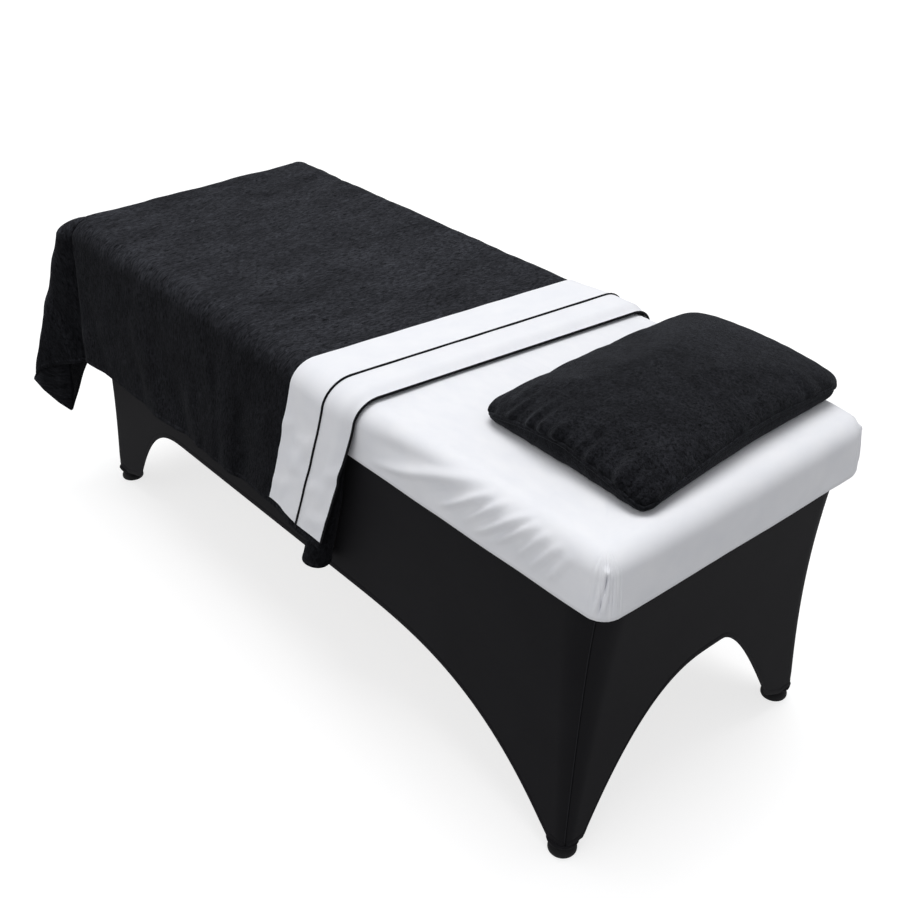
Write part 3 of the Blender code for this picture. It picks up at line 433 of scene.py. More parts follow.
def ripples(u, v, uneven, waves=9):
    """Smooth unevenness over two coordinates, from its height, wavelength and seed."""
    height, wavelength, seed = uneven
    draw = np.random.default_rng(seed)
    total = np.zeros_like(u)
    for _ in range(waves):
        heading = draw.uniform(0, 2 * math.pi)
        length = wavelength * draw.uniform(0.7, 1.4)
        phase = draw.uniform(0, 2 * math.pi)
        total += np.sin(2 * math.pi * (u * math.cos(heading) + v * math.sin(heading)) / length + phase)
    return height * total / math.sqrt(waves)


def ridge(u, v, start, end, width):
    """Soft ridge of unit height along a line between two places, fading towards both ends."""
    du = end[0] - start[0]
    dv = end[1] - start[1]
    length = math.hypot(du, dv)
    along = ((u - start[0]) * du + (v - start[1]) * dv) / length
    beside = ((v - start[1]) * du - (u - start[0]) * dv) / length
    share = np.clip(along / length, 0.0, 1.0)
    beyond = along - share * length
    body = np.exp(-(beside ** 2 + beyond ** 2) / width ** 2)
    return body * (0.30 + 0.70 * np.sin(math.pi * share))


def side_drop(across):
    """Length of cloth past the flat top's side."""
    return np.maximum(np.abs(across) - FLAT_HALF_WIDTH, 0.0)


def hang(drop):
    """Length of cloth that hangs free, once it has passed the table's round edge."""
    return np.maximum(drop - EDGE_WRAP, 0.0)


def corner_tilt(share):
    """Tilt of the hanging corner cloth towards the foot end and towards the side, in radians."""
    shares = CORNER_FOLD[:, 0]
    row = np.clip(np.searchsorted(shares, share) - 1, 0, len(shares) - 2)
    step = ease((share - shares[row]) / (shares[row + 1] - shares[row]))
    tilts = blend(CORNER_FOLD[row, 1:], CORNER_FOLD[row + 1, 1:], step[:, None])
    return np.radians(tilts[:, 0]), np.radians(tilts[:, 1])


def head_shift(place, across):
    """How far the bedding lies towards the head: askew over the top, leaning to the foot as it hangs."""
    fade = ease((place - BAND_FOOT_EDGE) / HEAD_SKEW_FADES_OVER + 1)
    drop = side_drop(across)
    lean = SIDE_LEAN * drop ** 2 / (drop + EDGE_WRAP) / BLANKET_SIDE_DROP
    return fade * (math.tan(HEAD_SKEW) * across - lean)


def fold_swell(drop):
    """How much further the turned-under edge stands out as it hangs down the side."""
    return FOLD_SWELL * ease(hang(drop) / BLANKET_SIDE_DROP)


def fold_rise(place, drop):
    """How far the bedding is lifted off the sheet by the turned-under edge below it."""
    lift = FOLD_TOP_THICKNESS + FOLD_CLEARANCE + fold_swell(drop)
    past_fold = ease((place - BAND_HEAD_EDGE) / BAND_FALL_LENGTH + 1) * (1 - ease(drop / BAND_DROP))
    return lift * ease((place - BAND_FOOT_EDGE) / FOLD_RISE_LENGTH) - BAND_FALL * past_fold


def past_edges(place, across):
    """How far cloth places lie past the flat top's foot end and its sides."""
    past_side = side_drop(across)
    past_end = np.maximum(-place - FLAT_HALF_LENGTH + CORNER_REACH * hang(past_side), 0.0)
    return past_end, past_side


def round_corners(x, y, size, radius):
    """Places on a square-cornered cloth centred on the origin, once its corners are rounded."""
    into_x = np.maximum(np.abs(x) - size[0] / 2 + radius, 0.0) / radius
    into_y = np.maximum(np.abs(y) - size[1] / 2 + radius, 0.0) / radius
    rounded_x = x - np.sign(x) * radius * into_x * (1 - np.sqrt(1 - into_y ** 2 / 2))
    rounded_y = y - np.sign(y) * radius * into_y * (1 - np.sqrt(1 - into_x ** 2 / 2))
    return rounded_x, rounded_y


def drape(place, across, height):
    """Cloth points over the table from their places on the flat cloth, at a height over the sheet."""
    past_end, past_side = past_edges(place, across)
    drop = np.hypot(past_end, past_side)
    share = np.arctan2(past_end, past_side) / (math.pi / 2)
    heading = math.pi / 2 * ease(share)
    rise = fold_rise(place, np.zeros_like(place))
    radius = SHEET_EDGE + height + rise
    turn = np.minimum(drop / SHEET_EDGE, math.pi / 2)
    hanging = hang(drop)
    to_end, to_side = corner_tilt(share)
    plumb = np.sqrt(1 - np.sin(to_end) ** 2 - np.sin(to_side) ** 2)
    bow = np.where(across < 0, CORNER_BOW_FRONT, CORNER_BOW_BACK) * ease(share / CORNER_BOW_STARTS_OVER)
    bow *= bump_at(share, CORNER_BOW_AT, CORNER_BOW_SPREAD)
    bow *= ease(drop / EDGE_WRAP) * np.clip(1 - hanging / CORNER_BOW_LENGTH, 0.0, 1.0)
    corner_starts = CORNER_REACH * hang(past_side) - FLAT_HALF_LENGTH
    x = np.maximum(place, corner_starts) - (radius * np.sin(turn) + bow) * np.sin(heading)
    x += head_shift(place, across) - hanging * np.sin(to_end)
    y = np.minimum(np.abs(across), FLAT_HALF_WIDTH) + (radius * np.sin(turn) + bow) * np.cos(heading)
    y += hanging * np.sin(to_side) + fold_rise(place, past_side) - rise
    z = SHEET_TOP + radius * np.cos(turn) - SHEET_EDGE - hanging * plumb
    return np.stack((MIDDLE + x, np.where(across < 0, -y, y), z), axis=1)


def cover_section(z):
    """Half length, half width and corner radius of the stretch cover at some heights."""
    fall = np.clip((DECK_BOTTOM - z) / (DECK_BOTTOM - COVER_STRIP_BOTTOM), 0.0, 1.0)
    flare = (1 - fall) ** COVER_FLARE
    half_length = blend(FOOT_X + COVER_FOOT_REACH_END, COVER_HALF_LENGTH, flare)
    half_width = blend(FOOT_Y + COVER_FOOT_REACH_SIDE, COVER_TOP_WIDTH, flare)
    half_width = half_width - COVER_WAIST * np.sin(math.pi * fall)
    return half_length, half_width, blend(COVER_TOP_RADIUS, COVER_FOOT_CORNER_RADIUS, fall)


def arch_height(place, first_half, second_half):
    """Height of a panel's lower edge: level in the middle, sweeping down to the tip at each foot."""
    values = [np.where(place < 0, first, second) for first, second in zip(first_half, second_half)]
    starts, ends, hem, power, steepest = values
    share = np.maximum((np.abs(place) - starts) / (ends - starts), 0.0)
    swept = hem - (hem - COVER_STRIP_BOTTOM) * share ** power
    past_end = COVER_STRIP_BOTTOM - steepest * np.maximum(np.abs(place) - ends, 0.0)
    return np.maximum(np.where(share > 1, np.maximum(swept, past_end), swept), COVER_TIP_BOTTOM)


# Meshes

def mesh_piece(name, points, faces, surface, uv=None):
    """Smooth-shaded object from points and faces, with cloth coordinates in metres as its UVs."""
    mesh = bpy.data.meshes.new(name)
    mesh.from_pydata(np.asarray(points).tolist(), [], faces)
    mesh.update()
    mesh.shade_smooth()
    if uv is not None:
        corners = np.empty(len(mesh.loops), dtype=np.int32)
        mesh.loops.foreach_get("vertex_index", corners)
        layer = mesh.uv_layers.new(name="cloth")
        layer.data.foreach_set("uv", np.asarray(uv, dtype=np.float32)[corners].ravel())
    mesh.materials.append(surface)
    piece = bpy.data.objects.new(name, mesh)
    bpy.context.scene.collection.objects.link(piece)
    return piece


def normals_and_rim(points, faces):
    """Normals of an open surface at its points, and which points lie on its rim."""
    mesh = bpy.data.meshes.new("surface")
    mesh.from_pydata(points.tolist(), [], faces)
    mesh.update()
    normals = np.empty(3 * len(points), dtype=np.float32)
    mesh.vertex_normals.foreach_get("vector", normals)
    edge_of = np.empty(len(mesh.loops), dtype=np.int32)
    mesh.loops.foreach_get("edge_index", edge_of)
    ends = np.empty(2 * len(mesh.edges), dtype=np.int32)
    mesh.edges.foreach_get("vertices", ends)
    uses = np.bincount(edge_of, minlength=len(mesh.edges))
    rim = np.zeros(len(points), dtype=bool)
    rim[ends.reshape(-1, 2)[uses == 1].ravel()] = True
    bpy.data.meshes.remove(mesh)
    return normals.reshape(-1, 3).astype(float), rim


def raised(points, faces, relief):
    """Surface points moved along their normals."""
    normals, _ = normals_and_rim(points, faces)
    return points + normals * relief[:, None]


def cloth_piece(name, points, faces, half, surface, uv):
    """Closed cloth with half its thickness to each side of a surface, its two skins sharing the rim."""
    normals, rim = normals_and_rim(points, faces)
    number = np.where(rim, np.arange(len(points)), len(points) + np.cumsum(~rim) - 1).tolist()
    outer = points + normals * np.where(rim, 0.0, half)[:, None]
    inner = (points - normals * half[:, None])[~rim]
    skins = faces + [tuple(number[k] for k in reversed(face)) for face in faces]
    return mesh_piece(name, np.concatenate((outer, inner)), skins, surface, np.concatenate((uv, uv[~rim])))


def rim_profile(distance, thickness):
    """Half thickness of cloth near its cut edge, so that the edge is round."""
    radius = thickness / 2
    share = 1 - np.clip(distance / radius, 0.0, 1.0)
    return radius * np.sqrt(1 - share ** 2)


def hem_relief(distance, width=HEM_WIDTH):
    """Raised double layer along a hem, with the groove of its stitching."""
    layer = HEM_RISE * (1 - comes_in(distance, width, HEM_STEP))
    return layer - HEM_GROOVE * bump_at(distance, width, HEM_GROOVE_WIDTH)


def hem_rows(width=HEM_WIDTH):
    """Distances from a cut edge at which hem, stitching and round edge need points."""
    return [width + step for step in STITCHING_ROWS] + [width / 2, *CUT_EDGE_ROWS]


def grid_faces(rows, columns, closed=False):
    """Quads over rows of points, and from each row's end back to its start where it is closed."""
    faces = []
    for i in range(rows - 1):
        for j in range(columns if closed else columns - 1):
            after = (j + 1) % columns
            low = i * columns
            high = low + columns
            faces.append((low + j, high + j, high + after, low + after))
    return faces


def tube_piece(name, line, radius, surface, sides=10):
    """Round cord along a line of points, with domed ends."""
    line = np.asarray(line)
    along = np.gradient(line, axis=0)
    along /= np.linalg.norm(along, axis=1)[:, None]
    sideways = np.tile((1.0, 0.0, 0.0), (len(line), 1))
    sideways -= along * np.sum(along * sideways, axis=1)[:, None]
    sideways /= np.linalg.norm(sideways, axis=1)[:, None]
    out = np.cross(sideways, along)
    radii = np.full(len(line), radius)
    radii[[0, -1]] = radius * TUBE_END_SIZE
    turn = full_turn(sides)
    ring = sideways[:, None] * np.cos(turn)[None, :, None] + out[:, None] * np.sin(turn)[None, :, None]
    points = (line[:, None] + ring * radii[:, None, None]).reshape(-1, 3)
    faces = grid_faces(len(line), sides, closed=True)
    faces.append(tuple(range(sides)))
    faces.append(tuple(reversed(range(len(points) - sides, len(points)))))
    return mesh_piece(name, points, faces, surface)


def loop_tube(name, line, radius, surface, sides=10, height=1.0):
    """Cord along a closed, nearly level line, round or drawn out upright by a factor."""
    line = np.asarray(line)
    along = np.roll(line, -1, axis=0) - np.roll(line, 1, axis=0)
    along /= np.linalg.norm(along, axis=1)[:, None]
    out = np.cross(along, (0.0, 0.0, 1.0))
    out /= np.linalg.norm(out, axis=1)[:, None]
    up = np.cross(out, along)
    turn = full_turn(sides)
    ring = out[:, None] * np.cos(turn)[None, :, None] + height * up[:, None] * np.sin(turn)[None, :, None]
    points = (line[:, None] + ring * radius).reshape(-1, 3)
    faces = grid_faces(len(line), sides, closed=True)
    last = (len(line) - 1) * sides
    for k in range(sides):
        after = (k + 1) % sides
        faces.append((last + k, k, after, last + after))
    return mesh_piece(name, points, faces, surface)


def stitch_piece(name, line, normals, pitch, length, radius, surface):
    """Row of short thread stitches lying along a line of points."""
    line = np.asarray(line)
    reach = np.concatenate(([0.0], np.cumsum(np.linalg.norm(np.diff(line, axis=0), axis=1))))
    starts = np.arange(pitch / 2, reach[-1] - length, pitch)
    points = []
    faces = []
    for start in starts:
        first = len(points)
        for share, size in STITCH_RINGS:
            at = start + share * length
            centre = np.array([np.interp(at, reach, line[:, k]) for k in range(3)])
            ahead = np.array([np.interp(at + pitch / 4, reach, line[:, k]) for k in range(3)])
            out = np.array([np.interp(at, reach, normals[:, k]) for k in range(3)])
            out /= np.linalg.norm(out)
            along = ahead - centre
            along /= max(np.linalg.norm(along), 1e-9)
            beside = np.cross(along, out)
            for angle in full_turn(STITCH_SIDES):
                points.append(centre + radius * size * (out * math.sin(angle) + beside * math.cos(angle)))
        wall = grid_faces(len(STITCH_RINGS), STITCH_SIDES, closed=True)
        faces += [tuple(first + k for k in face) for face in wall]
        faces.append(tuple(first + k for k in range(STITCH_SIDES)))
        faces.append(tuple(len(points) - 1 - k for k in range(STITCH_SIDES)))
    return mesh_piece(name, points, faces, surface)


# Materials

def start_material(name, colour, roughness, **sockets):
    """Principled material with its constant values set on the shader's own sockets."""
    surface = bpy.data.materials.new(name)
    surface.use_nodes = True
    tree = surface.node_tree
    shader = tree.nodes["Principled BSDF"]
    shader.inputs["Base Color"].default_value = (*colour, 1.0)
    shader.inputs["Roughness"].default_value = roughness
    for socket, value in sockets.items():
        shader.inputs[socket.replace("_", " ")].default_value = value
    return surface, tree, shader


def add_node(tree, kind, links=None, **values):
    """Node with its settings and sockets set, and its inputs linked."""
    made = tree.nodes.new(kind)
    for name, value in values.items():
        socket = name.replace("_", " ")
        if socket in made.inputs:
            made.inputs[socket].default_value = value
        else:
            setattr(made, name, value)
    for socket, source in (links or {}).items():
        tree.links.new(source, made.inputs[socket])
    return made


def coordinates(tree, kind, stretch=(1.0, 1.0, 1.0), turn=(0.0, 0.0, 0.0)):
    """Object or UV coordinates, stretched and turned."""
    source = add_node(tree, "ShaderNodeTexCoord")
    mapping = add_node(tree, "ShaderNodeMapping", {"Vector": source.outputs[kind]})
    mapping.inputs["Scale"].default_value = stretch
    mapping.inputs["Rotation"].default_value = turn
    return mapping.outputs["Vector"]


def noise_factor(tree, vector, scale, detail=3.0, roughness=0.55, distortion=0.0):
    """Fractal noise from 0 to 1."""
    made = add_node(
        tree, "ShaderNodeTexNoise", {"Vector": vector},
        Scale=scale, Detail=detail, Roughness=roughness, Distortion=distortion,
    )
    return made.outputs["Fac"]


def contrast(tree, factor, low, high):
    """Factor stretched so that low becomes 0 and high becomes 1."""
    made = add_node(tree, "ShaderNodeMapRange", {"Value": factor})
    made.inputs["From Min"].default_value = low
    made.inputs["From Max"].default_value = high
    return made.outputs["Result"]


def uneven_colour(tree, shader, factor, tones):
    """Base colour of the shader between two tones by a varying factor."""
    made = add_node(tree, "ShaderNodeMix", data_type="RGBA")
    tree.links.new(factor, made.inputs["Factor"])
    made.inputs[6].default_value = (*tones[0], 1.0)
    made.inputs[7].default_value = (*tones[1], 1.0)
    tree.links.new(made.outputs[2], shader.inputs["Base Color"])


def between_factors(tree, first, second, operation="ADD"):
    """Two varying factors put together."""
    made = add_node(tree, "ShaderNodeMath", operation=operation)
    tree.links.new(first, made.inputs[0])
    tree.links.new(second, made.inputs[1])
    return made.outputs[0]


def bump(tree, shader, height, strength, distance, under=None):
    """Fine relief on the shader, over any relief under it."""
    made = add_node(tree, "ShaderNodeBump", {"Height": height}, Strength=strength, Distance=distance)
    if under is not None:
        tree.links.new(under, made.inputs["Normal"])
    tree.links.new(made.outputs["Normal"], shader.inputs["Normal"])
    return made.outputs["Normal"]


def weave_height(tree, vector, thread):
    """Height of a plain weave with threads of one width, from two crossed waves."""
    waves = []
    for direction in ("X", "Y"):
        wave = add_node(
            tree, "ShaderNodeTexWave", {"Vector": vector},
            bands_direction=direction, Scale=math.pi / 10 / (2 * thread), Distortion=0.6, Detail=1.0,
        )
        wave.inputs["Detail Scale"].default_value = 0.5
        waves.append(wave.outputs["Fac"])
    return between_factors(tree, waves[0], waves[1], "MAXIMUM")


def cotton_material():
    """White cotton: a fine plain weave with slubs and faint unevenness."""
    surface, tree, shader = start_material(
        "white_cotton", (0.86, 0.87, 0.90), 0.82,
        Sheen_Weight=0.12, Sheen_Roughness=0.5, Specular_IOR_Level=0.25,
    )
    cloth = coordinates(tree, "UV")
    uneven_colour(tree, shader, contrast(tree, noise_factor(tree, cloth, 14.0), 0.3, 0.7), COTTON)
    slubs = noise_factor(tree, coordinates(tree, "UV", (60.0, 900.0, 1.0)), 1.0, 2.0)
    relief = bump(tree, shader, weave_height(tree, cloth, 0.0006), 0.12, 0.0002)
    bump(tree, shader, slubs, 0.06, 0.0003, relief)
    return surface


def pile_material(name, tones, cloth_kind, stretch, sheen, scales, darkest_painted_shade):
    """Brushed pile: patches where the pile lies another way, clumps, fibres, and painted shade on its sides
    and undersides.
    """
    surface, tree, shader = start_material(
        name, tones[0], 0.95, Specular_IOR_Level=0.02,
        Sheen_Weight=sheen, Sheen_Roughness=0.45, Sheen_Tint=(0.62, 0.64, 0.70, 1.0),
    )
    cloth = coordinates(tree, cloth_kind, stretch)
    patch_scale, clump_scale = scales
    patches = contrast(tree, noise_factor(tree, cloth, patch_scale, 4.0, 0.6, 0.6), 0.34, 0.68)
    drifts = contrast(tree, noise_factor(tree, cloth, 4 * patch_scale, 3.0, 0.6, 1.0), 0.32, 0.70)
    clumps = contrast(tree, noise_factor(tree, cloth, clump_scale, 4.0, 0.7, 0.8), 0.32, 0.72)
    fibres = noise_factor(tree, cloth, 900.0, 2.0, 0.7)
    mottled = between_factors(tree, between_factors(tree, patches, drifts), clumps, "MULTIPLY")
    grain = between_factors(tree, between_factors(tree, mottled, clumps), fibres, "MULTIPLY")
    # Painted shade: the colour darkens from surfaces facing up to those facing sideways or down, by the
    # normal's height
    facing = add_node(tree, "ShaderNodeNewGeometry").outputs["Normal"]
    upward = add_node(tree, "ShaderNodeSeparateXYZ", {"Vector": facing}).outputs["Z"]
    painted_shade_factor = add_node(tree, "ShaderNodeMapRange", {"Value": upward})
    painted_shade_factor.inputs["To Min"].default_value = darkest_painted_shade
    tone = between_factors(tree, grain, painted_shade_factor.outputs["Result"], "MULTIPLY")
    uneven_colour(tree, shader, tone, tones)
    relief = bump(tree, shader, clumps, 0.55, 0.0016)
    bump(tree, shader, fibres, 0.50, 0.0006, relief)
    return surface


def stretch_material():
    """Knitted stretch fabric: matt black with very fine wales."""
    surface, tree, shader = start_material(
        "black_stretch_fabric", (0.0085, 0.0083, 0.0096), 0.75, Specular_IOR_Level=0.06,
    )
    cloth = coordinates(tree, "UV")
    uneven_colour(tree, shader, contrast(tree, noise_factor(tree, cloth, 5.0), 0.3, 0.7), STRETCH_FABRIC)
    bump(tree, shader, weave_height(tree, cloth, 0.0005), 0.18, 0.0002)
    return surface


def cord_material(name, tones):
    """Twisted thread or piping: fine slanting strands."""
    surface, tree, shader = start_material(name, tones[0], 0.85, Specular_IOR_Level=0.10)
    strands = add_node(
        tree, "ShaderNodeTexWave", {"Vector": coordinates(tree, "Object", turn=(0.6, 0.4, 0.7))},
        Scale=260.0, Distortion=1.5,
    )
    uneven_colour(tree, shader, strands.outputs["Fac"], tones)
    bump(tree, shader, strands.outputs["Fac"], 0.4, 0.0003)
    return surface


def vinyl_material():
    """Cream upholstery vinyl with a pebble grain."""
    surface, tree, shader = start_material("cream_vinyl", (0.62, 0.56, 0.46), 0.46)
    place = coordinates(tree, "Object")
    uneven_colour(tree, shader, contrast(tree, noise_factor(tree, place, 9.0), 0.3, 0.7), VINYL)
    pebbles = add_node(tree, "ShaderNodeTexVoronoi", {"Vector": place}, Scale=620.0)
    bump(tree, shader, pebbles.outputs["Distance"], 0.35, 0.0004)
    return surface


def wood_material(name, tones, stretch):
    """Planed wood: long grain lines, soft rings and fine pores."""
    surface, tree, shader = start_material(name, tones[0], 0.55)
    grain = coordinates(tree, "Object", stretch)
    rings = noise_factor(tree, grain, 2.0, 5.0, 0.6, 1.2)
    uneven_colour(tree, shader, contrast(tree, rings, 0.30, 0.72), tones)
    bump(tree, shader, noise_factor(tree, grain, 18.0, 2.0), 0.25, 0.0005)
    return surface


def metal_material(name, tones, roughness, metallic, grain):
    """Plated or coated metal with a fine orange peel and uneven tone."""
    surface, tree, shader = start_material(name, tones[0], roughness, Metallic=metallic)
    place = coordinates(tree, "Object")
    uneven_colour(tree, shader, contrast(tree, noise_factor(tree, place, 40.0, 4.0), 0.35, 0.7), tones)
    bump(tree, shader, noise_factor(tree, place, grain, 2.0), 0.2, 0.0003)
    return surface


def rubber_material():
    """Moulded black rubber with a dusty, slightly uneven skin."""
    surface, tree, shader = start_material(
        "black_rubber", (0.006, 0.006, 0.007), 0.65, Specular_IOR_Level=0.14,
    )
    place = coordinates(tree, "Object")
    uneven_colour(tree, shader, contrast(tree, noise_factor(tree, place, 60.0, 4.0), 0.4, 0.75), RUBBER)
    bump(tree, shader, noise_factor(tree, place, 1400.0, 2.0), 0.25, 0.0002)
    return surface


cotton = cotton_material()
# The last number of each is the share of colour that the painted shade leaves on sides and undersides
fleece = pile_material("black_fleece", FLEECE, "UV", (1.0, 0.4, 1.0), 0.04, (9.0, 190.0), 0.24)
velvet = pile_material("black_velvet", VELVET, "Object", (1.0, 1.0, 1.0), 0.12, (5.0, 180.0), 0.45)
stretch = stretch_material()
piping = cord_material("black_piping", PIPING)
thread = cord_material("black_thread", THREAD)
vinyl = vinyl_material()
NODE_MATERIALS = {
    "deck_board": wood_material("birch_plywood", PLYWOOD, (3.0, 30.0, 30.0)),
    "rail": wood_material("beech", BEECH, (4.0, 40.0, 40.0)),
    "upright": wood_material("beech_upright", BEECH, (40.0, 40.0, 4.0)),
    "leg": wood_material("black_lacquer", LACQUER, (40.0, 40.0, 4.0)),
    "leg_plate": metal_material("black_steel", COATED_STEEL, 0.45, 0.0, 900.0),
    "zinc": metal_material("zinc_plate", ZINC, 0.32, 1.0, 600.0),
    "foot_bush": metal_material("brass", BRASS, 0.30, 1.0, 600.0),
}
rubber = rubber_material()


# Fitted sheet and padded top

def outline(half_length, half_width, radius):
    """Rectangle with round corners as points, with the outward direction at each."""
    points = []
    outward = []
    for sx, sy, start, count in (
        (1, -1, -90, LONG_POINTS), (1, 1, 0, SHORT_POINTS),
        (-1, 1, 90, LONG_POINTS), (-1, -1, 180, SHORT_POINTS),
    ):
        centre = np.array((sx * (half_length - radius), sy * (half_width - radius)))
        facing = np.array((math.cos(math.radians(start)), math.sin(math.radians(start))))
        before = np.array((-facing[1], facing[0]))
        run = 2 * (half_length - radius) if count == LONG_POINTS else 2 * (half_width - radius)
        share = np.arange(count)[:, None] / count
        points.append(centre + facing * radius - before * run * (1 - share))
        outward.append(np.tile(facing, (count, 1)))
        angle = np.radians(start + 90 * np.arange(ARC_POINTS) / ARC_POINTS)
        turning = np.stack((np.cos(angle), np.sin(angle)), axis=1)
        points.append(centre + turning * radius)
        outward.append(turning)
    return np.concatenate(points), np.concatenate(outward)


def top_profile(edge_radius, hem_radius, hem_turn, top, bottom):
    """Insets, heights and cloth lengths down from the flat top, from the middle to the lower hem."""
    insets = steps(HALF_WIDTH - MIDDLE_STRIP, edge_radius + FLAT_ENDS_BEFORE_EDGE, FLAT_ROWS)
    rows = [(inset, top, edge_radius - inset) for inset in insets]
    for angle in steps(0.0, math.pi / 2, EDGE_ROWS):
        inset = edge_radius * (1 - math.sin(angle))
        rows.append((inset, top - edge_radius * (1 - math.cos(angle)), edge_radius * angle))
    down = rows[-1][2]
    side_top = top - edge_radius
    side_bottom = bottom + hem_radius
    for z in steps(side_top, side_bottom, SIDE_ROWS)[1:]:
        rows.append((0.0, z, down + side_top - z))
    down = rows[-1][2]
    for angle in steps(0.0, hem_turn, LOWER_ROWS)[1:]:
        inset = hem_radius * (1 - math.cos(angle))
        rows.append((inset, side_bottom - hem_radius * math.sin(angle), down + hem_radius * angle))
    return rows


def ringed_surface(rows, half_length, half_width, corner_radius):
    """Rings of rounded outlines, joined along the middle line of the top."""
    points = []
    outward = []
    downs = []
    for inset, z, down in rows:
        radius = max(corner_radius - inset, LEAST_CORNER_RADIUS)
        ring, facing = outline(half_length - inset, half_width - inset, radius)
        points.append(np.column_stack((ring, np.full(len(ring), z))))
        outward.append(facing)
        downs.append(np.full(len(ring), down))
    faces = grid_faces(len(rows), RING_POINTS, closed=True)
    return np.concatenate(points), np.concatenate(outward), np.concatenate(downs), faces + middle_faces(0)


def middle_faces(first):
    """Faces across a ring whose long sides lie close together, pairing points front to back."""
    mirror = 2 * LONG_POINTS + SHORT_POINTS + 2 * ARC_POINTS
    faces = []
    for k in range(-(ARC_POINTS + SHORT_POINTS // 2), LONG_POINTS + ARC_POINTS + SHORT_POINTS // 2):
        pair = [k, k + 1, mirror - k - 1, mirror - k]
        corners = dict.fromkeys(first + point % RING_POINTS for point in pair)
        if len(corners) > 2:
            faces.append(tuple(corners))
    return faces


def corner_sink(points):
    """How far the soft pad, and the sheet on it, give way at the top of each corner."""
    from_corner = np.abs(points) - np.array((HALF_LENGTH, HALF_WIDTH, SHEET_TOP))
    distance = np.linalg.norm(from_corner, axis=1)
    return CORNER_SINK * bump_at(distance, 0.0, CORNER_SINK_REACH)


def sheet_relief(points, outward, down):
    """Height of the sheet's wrinkles, gathered hem, corner pleats and soft top."""
    x, y = points[:, 0], points[:, 1]
    on_front = np.clip(-outward[:, 1], 0.0, 1.0) ** 4 * (y < 0)
    below = np.maximum(down, 0.0)
    relief = np.zeros(len(points))
    for start, end, width, height in SHEET_WRINKLES:
        relief += on_front * height * ridge(x, below, start, end, width)
    around = x * outward[:, 1] - y * outward[:, 0]
    gathered = comes_in(below, *GATHERS_FROM) * (1 - FRONT_GATHERS_LESS * on_front)
    relief += gathered * ripples(around, GATHER_STRETCH * below, SHEET_GATHERS)
    relief += comes_in(below, *SLACK_FROM) * ripples(around, below, SHEET_SLACK)
    relief *= 1 - HEM_CALM * comes_in(below, *HEM_CALM_FROM)
    relief += ripples(x, y, SHEET_TOP_UNEVEN)
    inside = np.minimum(HALF_LENGTH - np.abs(x), HALF_WIDTH - np.abs(y))
    relief += SHEET_CROWN * comes_in(inside, *CROWN_FROM) - corner_sink(points)
    return relief + corner_pleats(outward, below)


def corner_pleats(outward, below):
    """Sewn dart at each corner: a slit between two soft lips, with a small rounded ear at its top."""
    aside = np.degrees(np.arctan2(np.abs(outward[:, 1]), np.abs(outward[:, 0])))
    in_corner = np.min(np.abs(outward), axis=1) > CORNER_LEAST_TURN
    heading = DART_HEADING + DART_SWAY * comes_in(below, *DART_SWAY_FROM)
    beside = np.radians(aside - heading) * SHEET_CORNER_RADIUS
    length = comes_in(below, *DART_FROM) * (1 - comes_in(below, *DART_ENDS))
    slit = -DART_SLIT_DEPTH * bump_at(beside, 0.0, DART_SLIT_WIDTH)
    lips = DART_LIP_HEIGHT * bump_at(np.abs(beside), DART_LIP_ASIDE, DART_LIP_WIDTH)
    ear = DART_EAR_HEIGHT * bump_at(beside, DART_EAR_ASIDE, DART_EAR_WIDTH)
    ear *= bump_at(below, DART_EAR_DOWN, DART_EAR_LENGTH)
    return np.where(in_corner, length * (slit + lips) + ear, 0.0)


def build_sheet():
    """White fitted sheet drawn tight over the pad, gathered in under its lower edge."""
    lowest = SHEET_BOTTOM - SHEET_HEM_BELOW
    rows = top_profile(SHEET_EDGE, SHEET_HEM_RADIUS, SHEET_HEM_TURN, SHEET_TOP, lowest)
    points, outward, down, faces = ringed_surface(rows, HALF_LENGTH, HALF_WIDTH, SHEET_CORNER_RADIUS)
    flat = np.column_stack((points[:, 0] + outward[:, 0] * down, points[:, 1] + outward[:, 1] * down))
    points = raised(points, faces, sheet_relief(points, outward, down) - SHEET_THICKNESS / 2)
    points[:, 0] += MIDDLE
    longest = down.max()
    doubled = SHEET_HEM_RISE * (1 - comes_in(longest - down, SHEET_HEM, SHEET_HEM_FADES_OVER))
    half = rim_profile(longest - down, SHEET_THICKNESS) + doubled
    piece = cloth_piece("sheet_cloth", points, faces, half, cotton, flat)
    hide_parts("fitted_sheet")
    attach(piece, "table")


